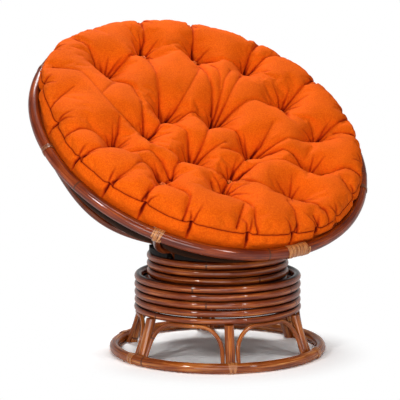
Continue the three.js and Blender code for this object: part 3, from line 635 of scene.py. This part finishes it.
def wound_peel(name, degrees, width, turns, lift=1.6, lean=0.0, cover=0.88):
    """Peel wound round the rim, each turn a little out of line with the last as by hand."""
    steps = int(turns * TURN_STEPS)
    middles, outwards = [], []
    for step in range(steps + 1):
        share = step / steps
        turn = 2 * math.pi * turns * share + lean
        # It strays by up to half a millimetre along the rim and a third of one in height.
        stray = 0.5 * math.sin(2.3 * turn + degrees) * math.sin(0.61 * turn)
        along = degrees + math.degrees(((share - 0.5) * width + stray) / RIM_RADIUS)
        side = outward(along) * math.cos(turn) + UP * math.sin(turn)
        height = RIM_CANE / 2 + lift + 0.35 * math.sin(0.47 * turn + degrees)
        middles.append(tilted(outward(along) * RIM_RADIUS + side * height))
        outwards.append(tilted_way(side))
    return peel_strip(name, middles, outwards, width / turns * cover)


def collar(name, rib, drop, dip):
    """A loop of peel round a rib's head, close under the rim and lower at the front."""
    route = np.array(rib_route(*rib)[:2])
    down = unit(route[1] - route[0])
    ahead = unit(outward(rib[0]) - down * (outward(rib[0]) @ down))
    aside = np.cross(down, ahead)
    away = RIB_CANE / 2 + 1.7
    middles, outwards = [], []
    for step in range(LOOP_STEPS + 1):
        turn = 2 * math.pi * step / LOOP_STEPS * LOOP_OVERLAP
        side = ahead * math.cos(turn) + aside * math.sin(turn)
        middles.append(route[0] + down * (drop + dip * math.cos(turn)) + side * away)
        outwards.append(side)
    return peel_strip(name, middles, outwards, COLLAR_WIDTH)


def make_rim_bindings():
    """A short binding at each rib, but a lashing with collars at one and the splice at another."""
    for index, rib in enumerate(RIBS):
        if index == 1:
            strips = [wound_peel("lashing", rib[0], 27, 4, lift=2.1, cover=0.8)]
            for shift, lean in ((-7, 2.6), (6, 3.4)):
                place = rib[0] + math.degrees(shift / RIM_RADIUS)
                strips.append(wound_peel(f"lashing_{shift}", place, 18, 0.8, 3.0, lean, 0.3))
            strips += [collar("collar_high", rib, 3, 2.5), collar("collar_low", rib, 9, 3)]
        elif index == 2:
            strips = [wound_peel("splice", rib[0], 71, 10)]
            for shift, lean in ((-31, 3.6), (-26, 1.2), (20, 3.9), (27, 2.4), (33, 0.6)):
                place = rib[0] + math.degrees(shift / RIM_RADIUS)
                strips.append(wound_peel(f"splice_{shift}", place, 13, 1.05, 2.6, lean, 0.42))
        else:
            strips = [wound_peel(f"binding_{index}", rib[0], 15, 3)]
        piece = joined(f"rim_binding_{index + 1}", strips)
        finish = PEEL if index in (1, 2) else STAINED_PEEL
        mount(piece, "rocker", "rattan_peel", finish, f"rim_wrap_{index + 1}")


def make_foot_bindings():
    """Two narrow loops of peel over the floor ring at each leg, drawn together below."""
    half = FLOOR_RING_CANE / 2 + 1.5
    for leg, degrees in enumerate(LEG_ANGLES):
        strips = []
        for number, (high, low) in enumerate(((-13, -4.5), (-1.5, -6), (1.5, 5.5), (13, 5))):
            middles, outwards = [], []
            for step in range(TIE_STEPS + 1):
                share = step / TIE_STEPS
                angle = math.radians(116 - 172 * share)
                slant = high + (low - high) * share
                along = degrees + math.degrees(slant / FLOOR_RING_RADIUS)
                side = outward(along) * math.cos(angle) + UP * math.sin(angle)
                centre = on_base(FLOOR_RING_RADIUS, along, FLOOR_RING_HEIGHT)
                middles.append(centre + side * (half + 0.8 * (number % 2)))
                outwards.append(side)
            strips.append(peel_strip(f"tie_{leg}_{number}", middles, outwards, TIE_WIDTH))
        piece = joined(f"foot_binding_{leg + 1}", strips)
        mount(piece, "base", "rattan_peel", PEEL, f"foot_strap_{leg + 1}")


# Mechanism inside the drums


def rounded_copy(node, name):
    """A smooth copy of a plain solid: its loose triangles are merged, then subdivided."""
    only(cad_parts[node])
    bpy.ops.object.duplicate()
    piece = bpy.context.object
    piece.name = name
    piece.parent = None
    bpy.ops.object.mode_set(mode="EDIT")
    bpy.ops.mesh.select_all(action="SELECT")
    bpy.ops.mesh.remove_doubles(threshold=0.00001)
    bpy.ops.object.mode_set(mode="OBJECT")
    for key in list(piece.keys()):
        if key.startswith("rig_"):
            del piece[key]
    apply(piece, "SUBSURF", levels=1, render_levels=1)
    bpy.ops.object.shade_smooth()
    return piece


def make_mechanism():
    for name in ("swivel_base_plate", "swivel_bearing", "swivel_top_plate", "rocker_plate"):
        give(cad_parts[name], PLATE)
    for name in ("cross_bar_front", "cross_bar_back"):
        give(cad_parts[name], TIMBER)
    give(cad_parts["seat_board"], BOARD)
    for index in range(1, 5):
        spring = rounded_copy(f"rocking_spring_{index}", f"spring_coil_{index}")
        give(spring, SPRING)
        # Its foot stands on the swivel's plate and its head is held by the rocker plate; here the
        # lowest and highest points of the coil are found, but nothing uses them.
        coil = points_of(spring.data)
        foot, head = coil.mean(axis=0), coil.mean(axis=0)
        foot[2], head[2] = coil[:, 2].min(), coil[:, 2].max()
        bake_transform(spring)
        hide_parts(f"rocking_spring_{index}")


# Cushion

MID_RISE = 52
CROWN = 28
DISH = 46
SIDE_RADIUS = 512.5
SIDE_FOOT = -6
SAG = 205
PUFF, PUFF_REACH = 25, 32
PUFF_LESS_AT_BACK = 9
GROOVE, GROOVE_REACH = 12, 6
PIT_STEEPNESS, PIT_REACH = 1.15, 115
WALL_SWELL = 9
NIP_DEPTH = 9
RAYS_FROM = 60
OVER_RIBS = 3
EASINGS = 160
VOXEL = 0.0068

# The cover is drawn as cloth over its filling, and each point moves by no more than COVER_REACH.
COVER_FRAMES = 20
COVER_REACH = 0.017
COVER_CLOTH = dict(quality=4, mass=0.35, tension_stiffness=18, compression_stiffness=6)
COVER_CLOTH.update(shear_stiffness=5, bending_stiffness=0.4, shrink_min=-0.05)
COVER_CLOTH.update(use_pressure=True, uniform_pressure_force=3.2, vertex_group_mass="held")

# What the filling can't lift: all that is lower than HELD_UNDER, and so many millimetres round
# each stitch, beside each tight crease and beside the seam.
HELD_UNDER, HELD_STITCH, HELD_CREASE, HELD_SEAM = 22, 9, 4, 5

# What sewing draws in: how deep, and how far to each side.
CREASE_DEPTH, CREASE_REACH = 7, 3
SEAM_DEPTH, SEAM_REACH = 3, 4
PLEAT_DEPTH, PLEAT_REACH, PLEAT_LENGTH = 6.5, 3.6, 42
HOLLOW_DEPTH, HOLLOW_REACH = 1.2, 16
FOLD_DEPTH, FOLD_REACH = 3.4, 3.2
STITCH_REACH = 9

# Knots of twine: each loop's size, its lift over the cover in metres, and how many to a knot.
KNOT_LOOP = dict(major_segments=24, minor_segments=8, major_radius=0.0056, minor_radius=0.0021)
KNOT_LIFT = 0.003
KNOT_LOOPS = 3

# The cover's upper seam: angle from the back towards the sitter's left, radius, and height over
# the rim's plane.
SEAM = [
    (-180, 506, 50), (-173, 501, 50), (-164, 496, 50), (-153, 491, 50), (-146, 497, 50),
    (-141, 496, 50), (-136, 489, 50), (-131, 487, 50), (-127, 493, 50), (-123, 495, 50),
    (-119, 501, 50), (-112, 497, 50), (-105, 503, 50), (-100, 498, 50), (-96, 501, 50),
    (-92, 495, 50), (-86, 498, 50), (-78, 501, 51), (-72, 513, 52), (-66, 521, 53),
    (-59, 533, 54), (-40, 533, 54), (-20, 518, 52), (0, 514, 52), (20, 520, 52), (40, 532, 52),
    (60, 532, 52), (80, 522, 52), (100, 518, 52), (120, 514, 52), (138, 511, 50),
    (147, 512, 50), (152, 519, 50), (158, 521, 50), (164, 522, 50), (173, 511, 50),
    (180, 506, 50),
]

# Where the cover is pulled down by a stitch: place across the bowl, and depth.
TUFTS = [
    (-222, 283, 50), (-49, 371, 46), (127, 339, 44), (277, 261, 44), (333, 81, 46),
    (372, -88, 44), (276, -231, 48), (148, -335, 44), (-3, -222, 40), (-64, -298, 34),
    (-243, -229, 44), (-334, -56, 46), (-203, -13, 44), (-96, 77, 56), (66, 43, 58),
    (120, -121, 54), (-96, -139, 56),
]

# Creases between them: each one's points across the bowl, from end to end, as x, y, x, y.
CREASES = [
    (-18, 500, -34, 418, -83, 340),
    (-101, 345, -157, 308, -232, 270),
    (-222, 283, -249, 307, -263, 368, -299, 426),
    (-60, 350, -78, 244, -93, 159, -105, 90),
    (166, 505, 153, 446, 122, 350),
    (94, 256, 61, 215, 8, 156, -51, 103, -96, 77),
    (-96, 77, -69, 61, -23, 71, 17, 68),
    (-420, 275, -352, 231, -334, 188, -320, 122, -297, 65, -250, 27, -215, -13),
    (-234, 198, -295, 143, -317, 123),
    (-505, 90, -446, 134, -397, 160),
    (-110, 55, -173, 0, -203, -13),
    (-223, 233, -184, 183, -188, 90, -203, -5),
    (-505, -37, -456, -20, -396, -21, -370, -41, -334, -56),
    (-287, 34, -307, -13, -330, -50),
    (-105, 55, -96, 3, -83, -40, -92, -93, -96, -130),
    (372, 370, 315, 320, 277, 261),
    (433, 300, 355, 290, 294, 262),
    (229, 211, 147, 128, 75, 50),
    (192, 227, 148, 184, 112, 124, 66, 50),
    (140, 268, 145, 232, 137, 193, 120, 155),
    (115, 325, 101, 228, 94, 157, 73, 80),
    (127, 335, 169, 300),
    (333, 81, 358, 95, 413, 127, 471, 161, 510, 175),
    (320, 80, 266, 78, 231, 84, 188, 83, 128, 62, 75, 45),
    (68, 35, 87, -14, 100, -59, 110, -105),
    (50, 35, -13, -42, -58, -99, -90, -130),
    (372, -88, 413, -70, 459, -54, 512, -30),
    (427, -88, 464, -104, 505, -120),
    (360, -92, 297, -114, 232, -110, 177, -115, 130, -120),
    (325, 60, 298, -11),
    (55, 35, 13, 33, -13, 47),
    (221, -36, 163, -93, 132, -110),
    (-492, -140, -452, -118, -400, -105, -350, -65),
    (-440, -258, -401, -232, -360, -213, -326, -191),
    (-324, -188, -290, -169, -262, -184, -250, -215),
    (-380, -340, -349, -313, -308, -283, -260, -240),
    (-275, -425, -246, -384, -223, -349, -226, -311, -238, -283),
    (-317, -114, -273, -118, -244, -130, -224, -161, -212, -221),
    (-210, -30, -215, -80, -190, -114, -159, -130, -105, -139),
    (-212, -221, -190, -185, -150, -150, -105, -142),
    (-58, -505, -56, -468, -38, -419, -40, -384, -60, -330, -64, -305),
    (-121, -474, -88, -428, -61, -393),
    (-64, -298, -60, -280, -15, -235),
    (-10, -225, -60, -215, -77, -190, -92, -150),
    (-96, -255, -106, -310),
    (0, -220, 20, -195, 60, -170, 108, -130),
    (5, -230, 44, -213, 89, -203, 139, -197, 181, -200, 225, -215, 265, -228),
    (128, -121, 160, -135, 200, -146, 235, -167, 262, -215),
    (283, -235, 320, -264, 345, -264, 385, -271, 420, -300),
    (330, -319, 335, -357, 345, -387),
    (148, -335, 170, -372, 181, -398, 191, -429, 203, -441, 200, -480),
    (140, -335, 107, -325, 68, -316, 26, -278),
    (88, -395, 92, -437, 84, -469, 75, -505),
    (148, -461, 155, -500),
    (-88, -135, -60, -120, -28, -110, 26, -98),
    (0, -120, 46, -124, 110, -122),
]

# Angles from the back, towards the sitter's left, where the boxed side is nipped in.
NIPS = [-170, -150, -133, -119, -104, -86, -66, -46, -24, -2, 18, 40, 56, 72, 90, 104]
NIPS += [118, 136, 152, 163, 173]


def polar(points):
    """How far each point lies from the bowl's middle, and its angle from the back."""
    return np.hypot(points[:, 0], points[:, 1]), np.arctan2(points[:, 0], points[:, 1])


def seam_height(turn):
    places, _, heights = np.array(SEAM, float).T
    return np.interp(np.degrees(turn), places, heights)


def seam_radius(turn):
    """Radius of the upper seam at each angle from the back, nipped in where the side is pleated."""
    places, sizes, _ = np.array(SEAM, float).T
    return np.interp(np.degrees(turn), places, sizes) - NIP_DEPTH * nipped(turn)


def nipped(turn, reach=9):
    """1 on each nip of the boxed side, fading within a few millimetres to 0."""
    nip = np.zeros_like(turn)
    for degrees in NIPS:
        away = (np.degrees(turn) - degrees + 180) % 360 - 180
        nip = np.maximum(nip, bell(np.radians(away) * SIDE_RADIUS, reach))
    return nip


def past_seam(own):
    """How far each point lies inside the seam, or below it on the boxed side as a minus."""
    radius, turn = polar(own)
    return (own[:, 2] - seam_height(turn)) - (radius - seam_radius(turn))


def to_stitches(flat):
    """How far each place on the face is from the nearest stitch."""
    return np.min([np.hypot(flat[:, 0] - x, flat[:, 1] - y) for x, y, _ in TUFTS], axis=0)


def beside(flat, start, end):
    """Where along a straight fold each place lies, from 0 to 1, and how far it is from the fold."""
    run = end - start
    share = np.clip(((flat - start) @ run) / (run @ run), 0, 1)
    return share, np.linalg.norm(flat - (start + share[:, None] * run), axis=1)


def to_creases(flat):
    """How far each place on the face is from the nearest crease."""
    nearest = np.full(len(flat), 1e9)
    for line in CREASES:
        ends = np.reshape(line, (-1, 2)).astype(float)
        for start, end in zip(ends[:-1], ends[1:]):
            nearest = np.minimum(nearest, beside(flat, start, end)[1])
    return nearest


def crease_strength(flat):
    """How tight the cover is creased: 1 at a stitch or at the seam, less between them."""
    radius, turn = polar(flat)
    seam = seam_radius(turn) - radius
    return 0.25 + 0.75 * np.maximum(bell(to_stitches(flat), 70), 0.8 * bell(seam, 60))


def small_folds():
    """Short folds that spread from each stitch and each nip in the seam: their starts and ends."""
    pick = np.random.default_rng(7)
    folds = []
    for x, y, _ in TUFTS:
        first = pick.uniform(0, 2 * math.pi)
        for number in range(7):
            turn = first + (number + pick.uniform(-0.35, 0.35)) * 2 * math.pi / 7
            way = np.array([math.cos(turn), math.sin(turn)])
            folds.append(np.array([x, y]) + np.array([[8], [pick.uniform(34, 84)]]) * way)
    for degrees in NIPS:
        for lean in (pick.uniform(-3.5, -1.5), pick.uniform(1.5, 3.5)):
            turn = np.radians(degrees + np.array([0.25, 1]) * lean)
            radius = seam_radius(turn) - np.array([3, pick.uniform(26, 58)])
            folds.append(np.column_stack([np.sin(turn) * radius, np.cos(turn) * radius]))
    return folds


def stitched_face(flat, share):
    """Height of the face over the rim's plane: a dished crown with stitches, creases and puffs."""
    gap = to_creases(flat)
    tight = crease_strength(flat)
    shoulder = np.sqrt(1 - share**9)
    high = PUFF - PUFF_LESS_AT_BACK * share**4 * np.clip(flat[:, 1] / 300, 0, 1)
    puff = high * (1 - tight * np.exp(-gap / PUFF_REACH)) * shoulder
    groove = GROOVE * tight * bell(gap, GROOVE_REACH) * shoulder
    pit = np.zeros(len(flat))
    for x, y, depth in TUFTS:
        away = np.hypot(flat[:, 0] - x, flat[:, 1] - y)
        slope = np.clip(1 - away / PIT_REACH, 0, 1) ** 1.9
        pit = np.maximum(pit, PIT_STEEPNESS * depth * slope)
    level = MID_RISE + (seam_height(polar(flat)[1]) - MID_RISE) * share**3
    return level + CROWN * shoulder - DISH * (1 - share**2) + puff - groove - pit


def draped_underside(flat):
    """Height of the underside: it lies on the ribs and the board, and sags between them."""
    gathered, faces = [], []
    for node in [f"rib_{k + 1}" for k in range(len(RIBS))] + ["seat_board"]:
        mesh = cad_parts[node].data
        base = len(gathered)
        gathered.extend(in_bowl(points_of(mesh) / MM))
        faces.extend([[base + v for v in face.vertices] for face in mesh.polygons])
    frame_below = BVHTree.FromPolygons([Vector(p) for p in gathered], faces)
    turns, reaches = 120, 36
    radii = SIDE_RADIUS * np.sin(np.linspace(0, math.pi / 2, reaches))
    angles = np.linspace(-math.pi, math.pi, turns, endpoint=False)
    floor = np.full((reaches, turns), -1e9)
    for r, radius in enumerate(radii):
        for t, turn in enumerate(angles):
            at = Vector((radius * math.sin(turn), radius * math.cos(turn), RAYS_FROM))
            met = frame_below.ray_cast(at, Vector((0, 0, -1)))[0]
            if met is not None:
                floor[r, t] = met.z + OVER_RIBS
    share = (radii / SIDE_RADIUS)[:, None]
    loose = SIDE_FOOT - SAG * (1 - share**2) ** 0.44 * np.ones((1, turns))
    height = np.maximum(loose, floor)
    for _ in range(EASINGS):
        ring = (np.roll(height, 1, axis=1) + np.roll(height, -1, axis=1)) / 2
        inner = np.vstack([height[:1].mean() * np.ones((1, turns)), height[:-1]])
        outer = np.vstack([height[1:], height[-1:]])
        eased = 0.35 * ring + 0.3 * (inner + outer) / 2 + 0.35 * loose
        height[:-1] = np.maximum(eased, floor)[:-1]
    height[-1] = SIDE_FOOT
    place, turn = polar(flat)
    r = np.interp(place, radii, np.arange(reaches))
    t = (turn + math.pi) / (2 * math.pi) * turns
    r0, t0 = np.floor(r).astype(int), np.floor(t).astype(int)
    r1 = np.minimum(r0 + 1, reaches - 1)
    fr, ft = r - r0, t - t0
    a = height[r0, t0 % turns] * (1 - ft) + height[r0, (t0 + 1) % turns] * ft
    b = height[r1, t0 % turns] * (1 - ft) + height[r1, (t0 + 1) % turns] * ft
    return a * (1 - fr) + b * fr


def shaped_cushion():
    """The pad before its cover is drawn tight: a ball set to a face, a side and an underside."""
    ball = bpy.ops.mesh.primitive_uv_sphere_add
    cushion = begun(ball, "tufted_cushion", segments=240, ring_count=120, radius=1)
    ball = points_of(cushion.data)
    ring = np.arccos(np.clip(ball[:, 2], -1, 1)) / math.pi
    _, turn = polar(ball)
    face_end, side_end = 0.5, 0.62
    seam, high = seam_radius(turn), seam_height(turn)
    around = np.column_stack([np.sin(turn), np.cos(turn)])
    own = np.zeros_like(ball)
    face = ring <= face_end
    share = np.clip(ring / face_end, 0, 1) ** 0.85
    radius = seam * share
    bulge = WALL_SWELL * np.sin(math.pi * np.clip((share - 0.86) / 0.14, 0, 1)) * (share > 0.86)
    flat = around * radius[:, None]
    own[face, 2] = stitched_face(flat[face], share[face])
    radius[face] += bulge[face]
    side = (ring > face_end) & (ring <= side_end)
    down = (ring - face_end) / (side_end - face_end)
    swell = WALL_SWELL - 12 * nipped(turn)
    slope = seam + (SIDE_RADIUS - seam) * np.clip(down * 1.15, 0, 1)
    slope += swell * np.sin(math.pi * np.clip(down / 0.8, 0, 1)) * (down < 0.8)
    radius[side] = slope[side]
    own[side, 2] = (high + (SIDE_FOOT - high) * down)[side]
    under = ring > side_end
    inward = (ring - side_end) / (1 - side_end)
    radius[under] = (SIDE_RADIUS * np.cos(math.pi / 2 * inward))[under]
    flat = around * radius[:, None]
    own[under, 2] = draped_underside(flat[under])
    own[:, :2] = flat
    # It is squeezed where it passes through the rim.
    level = np.abs(own[:, 2]) < RIM_CANE / 2 + 3
    far, _ = polar(own)
    squeeze = np.where(level & (far > SIDE_RADIUS), SIDE_RADIUS / np.maximum(far, 1), 1)
    own[:, :2] *= squeeze[:, None]
    set_points(cushion.data, tilted(own) * MM)
    apply(cushion, "REMESH", mode="VOXEL", voxel_size=VOXEL, use_smooth_shade=True)
    return cushion


def puffed(cushion):
    """Draws the cover over its filling: cloth under pressure, held at its stitches and below."""
    mesh = cushion.data
    start = points_of(mesh)
    own = in_bowl(start / MM)
    radius, turn = polar(own)
    above = own[:, 2] > -60
    held = (own[:, 2] < HELD_UNDER) | above & (to_stitches(own) < HELD_STITCH)
    inside = above & (radius < seam_radius(turn) - 12)
    tight = crease_strength(own[:, :2]) > 0.55
    held |= inside & (to_creases(own[:, :2]) < HELD_CREASE) & tight
    held |= np.abs(past_seam(own)) < HELD_SEAM
    grip = cushion.vertex_groups.new(name="held")
    grip.add(np.flatnonzero(held).tolist(), 1.0, "REPLACE")
    cloth = cushion.modifiers.new("Cover", "CLOTH")
    set_all(cloth.settings, COVER_CLOTH)
    cloth.settings.effector_weights.gravity = 0
    cloth.collision_settings.use_collision = False
    cloth.collision_settings.use_self_collision = False
    cloth.point_cache.frame_start = 1
    cloth.point_cache.frame_end = COVER_FRAMES
    scene = bpy.context.scene
    for step in range(1, COVER_FRAMES + 1):
        scene.frame_set(step)
    only(cushion)
    bpy.ops.object.modifier_apply(modifier=cloth.name)
    scene.frame_set(1)
    moved = points_of(mesh) - start
    reach = np.linalg.norm(moved, axis=1)
    allowed = COVER_REACH * np.tanh(reach / COVER_REACH) / np.maximum(reach, 1e-9)
    set_points(mesh, start + moved * allowed[:, None])


def keep_values(mesh, name, values):
    """Writes one number a point for the cover's material to read."""
    layer = mesh.attributes.new(name, "FLOAT", "POINT")
    layer.data.foreach_set("value", np.asarray(values, np.float32))


def sewn(cushion):
    """Sews the drawn cover: sharp folds, the seam's groove, pleats under it and small wrinkles."""
    mesh = cushion.data
    own = in_bowl(points_of(mesh) / MM)
    facing = in_bowl(points_of(mesh, "normal") + UP * RIM_HEIGHT)
    flat = own[:, :2]
    _, turn = polar(own)
    seam = past_seam(own)
    gap = to_creases(flat)
    face = (seam > 0) & (facing[:, 2] > 0)
    over_foot = own[:, 2] > 4
    tight = crease_strength(flat) * face
    below = bell(seam_height(turn) - own[:, 2], PLEAT_LENGTH) * ((seam <= 0) & over_foot)
    pleat = nipped(turn, PLEAT_REACH) * below
    depth = CREASE_DEPTH * tight * bell(gap, CREASE_REACH)
    depth += SEAM_DEPTH * bell(seam, SEAM_REACH) * over_foot
    depth += PLEAT_DEPTH * pleat + HOLLOW_DEPTH * nipped(turn, HOLLOW_REACH) * below
    # How much painted shade each crease, small fold and pleat gets in the cover's colour.
    fold_shade = tight * (0.85 * bell(gap, 2.6) + 0.15 * bell(gap, 8)) + 1.5 * pleat
    for start, end in small_folds():
        share, away = beside(flat, start, end)
        pinch = face * (1 - share) ** 0.7 * bell(away, FOLD_REACH)
        depth += FOLD_DEPTH * pinch
        fold_shade += 0.75 * pinch
    # Each stitch leaves a small flat place, on which its knot lies.
    depth *= 1 - 0.8 * bell(to_stitches(own), STITCH_REACH) * face
    set_points(mesh, tilted(own - facing * depth[:, None]) * MM)
    keep_values(mesh, "fold_shade", fold_shade)
    keep_values(mesh, "past_seam", seam / 20)
    # The underside is painted near black as shade.
    underside_shade = np.clip((SIDE_FOOT - 6 - own[:, 2]) / 4, 0, 1) * (facing[:, 2] < 0.3)
    keep_values(mesh, "underside_shade", underside_shade)


def make_cushion():
    cushion = shaped_cushion()
    puffed(cushion)
    apply(cushion, "SUBSURF", levels=1, render_levels=1)
    sewn(cushion)
    only(cushion)
    bpy.ops.object.shade_smooth()
    mount(cushion, "cushion", "cushion_cloth", CANVAS, "cushion")
    tie_tufts(cushion)


def tie_tufts(cushion):
    """A flat knot of twine in each pit: three crossed loops pulled tight on the cover."""
    faces = [face.vertices[:] for face in cushion.data.polygons]
    cover = BVHTree.FromPolygons([Vector(point) for point in points_of(cushion.data)], faces)
    above = Vector(tilted_way(UP))
    loops = []
    for number, (x, y, _) in enumerate(TUFTS):
        start = Vector(tilted(np.array([x, y, 180.0])) * MM)
        seat = cover.ray_cast(start, -above)[0] + above * KNOT_LIFT
        for turned in range(KNOT_LOOPS):
            tilt = (RIM_TILT, 0.2 * (turned - 1), 0)
            torus = bpy.ops.mesh.primitive_torus_add
            loop = begun(torus, "knot_loop", location=seat, rotation=tilt, **KNOT_LOOP)
            bpy.ops.object.mode_set(mode="EDIT")
            own_way = {"orient_type": "LOCAL", "center_override": seat}
            bpy.ops.transform.resize(value=(1.25, 0.6, 1), **own_way)
            bpy.ops.transform.rotate(
                value=number + turned * math.pi / KNOT_LOOPS, orient_axis="Z", **own_way
            )
            bpy.ops.object.mode_set(mode="OBJECT")
            bpy.ops.object.transform_apply(location=True, rotation=True, scale=True)
            loops.append(loop)
    knots = joined("tuft_knots", loops)
    bpy.ops.object.shade_smooth()
    mount(knots, "cushion", "cushion_cloth", TWINE)


# Room, light and camera

# Angle round the chair and above the floor, distance, width and height in metres, watts, roll.
LAMPS = {
    "left_strip_box": (-63, 26, 3.2, 0.34, 0.75, 30, 0),
    "right_strip_box": (10, 30, 3.2, 0.22, 0.7, 14, 0),
    "long_strip_box": (-20, 53, 3.2, 2.2, 0.25, 23, -39),
    "front_soft_box": (-32, 3, 4.2, 3.2, 1.1, 60, 0),
    "top_soft_box": (165, 58, 3.0, 1.2, 1.2, 80, 0),
}
LIGHT_AIM = Vector((0, -0.05, 0.45))
WHITE = (1, 1, 1, 1)


def seen(put):
    """1 for rays from the eye, in reflections and through glass, else 0."""
    sight = put("ShaderNodeLightPath").outputs
    total = sight["Is Camera Ray"]
    for name in ("Is Glossy Ray", "Is Transmission Ray"):
        total = put("ShaderNodeMath", {0: total, 1: sight[name]}, operation="MAXIMUM")
    return total


def white_backdrop():
    """Seamless white paper: white to the eye and in reflections, but it keeps the shadow."""
    floor = begun(bpy.ops.mesh.primitive_plane_add, "paper_floor", size=24, location=(0, 0, 0))
    material = bpy.data.materials.new("matt_white_paper")
    put, output = cleared(material, "ShaderNodeOutputMaterial")
    place = put("ShaderNodeTexCoord").outputs["Object"]
    middle = {"Location": (0, -BASE_Y * MM, 0)}
    centred = put("ShaderNodeMapping", {0: place}, middle)
    away = put("ShaderNodeVectorMath", {0: centred}, operation="LENGTH").outputs["Value"]
    ends = {"From Min": 0.33, "From Max": 0.5}
    fade = put("ShaderNodeMapRange", {0: away}, ends, interpolation_type="SMOOTHSTEP")
    plain = put("ShaderNodeBsdfDiffuse", values={"Color": (0.75, 0.75, 0.75, 1)})
    near = put("ShaderNodeBsdfDiffuse", values={"Color": (1.45, 1.45, 1.45, 1)})
    white = put("ShaderNodeEmission", values={"Color": WHITE, "Strength": 1})
    bright = put("ShaderNodeMixShader", {0: fade, 1: near, 2: white})
    link(output, {0: put("ShaderNodeMixShader", {0: seen(put), 1: plain, 2: bright})})
    give(floor, material)


def light_world():
    """White all round to the eye; in reflections white up to the paper's top, and dim above."""
    world = bpy.data.worlds.new("studio")
    bpy.context.scene.world = world
    put, output = cleared(world, "ShaderNodeOutputWorld")
    place = put("ShaderNodeTexCoord").outputs["Generated"]
    up = put("ShaderNodeSeparateXYZ", {0: place}).outputs[2]
    ends = {"From Min": 0.1, "From Max": 0.4, "To Min": 1, "To Max": 0.25}
    paper = put("ShaderNodeMapRange", {0: up}, ends)
    sight = put("ShaderNodeLightPath").outputs["Is Camera Ray"]
    level = put("ShaderNodeMath", {0: sight, 1: paper}, operation="MAXIMUM")
    white = put("ShaderNodeBackground", {"Strength": level}, {"Color": WHITE})
    soft = put("ShaderNodeBackground", values={"Color": WHITE, "Strength": 0.14})
    link(output, {0: put("ShaderNodeMixShader", {0: seen(put), 1: soft, 2: white})})


def soft_box(name, azimuth, elevation, distance, width, height, power, roll):
    """An area lamp aimed at the middle of the chair."""
    level = outward(azimuth)
    rise = math.radians(elevation)
    away = Vector((level[0] * math.cos(rise), level[1] * math.cos(rise), math.sin(rise)))
    lamp = bpy.data.lights.new(name, "AREA")
    set_all(lamp, {"shape": "RECTANGLE", "size": width, "size_y": height, "energy": power})
    holder = bpy.data.objects.new(name, lamp)
    holder.location = LIGHT_AIM + away * distance
    aimed = (-away).to_track_quat("-Z", "Y").to_matrix()
    holder.rotation_euler = (aimed @ Matrix.Rotation(math.radians(roll), 3, "Z")).to_euler()
    bpy.context.scene.collection.objects.link(holder)


def set_lights():
    light_world()
    for name, values in LAMPS.items():
        soft_box(name, *values)


def set_camera():
    """The photograph's viewpoint, found from the ellipses of the rim, drum and floor ring."""
    camera = bpy.data.objects.new("camera", bpy.data.cameras.new("camera"))
    camera.location = (-2.5616, -4.4962, 1.1666)
    camera.rotation_euler = Euler((math.radians(82.207), 0, math.radians(-29.64)))
    camera.data.lens = 149.83
    camera.data.sensor_width = 36
    bpy.context.scene.collection.objects.link(camera)
    bpy.context.scene.camera = camera


set_camera()
make_rim()
make_drums()
make_floor_ring()
make_legs()
make_arches()
make_ribs()
make_rim_bindings()
make_foot_bindings()
make_mechanism()
make_cushion()
white_backdrop()
set_lights()
bpy.context.scene.view_settings.view_transform = "Standard"
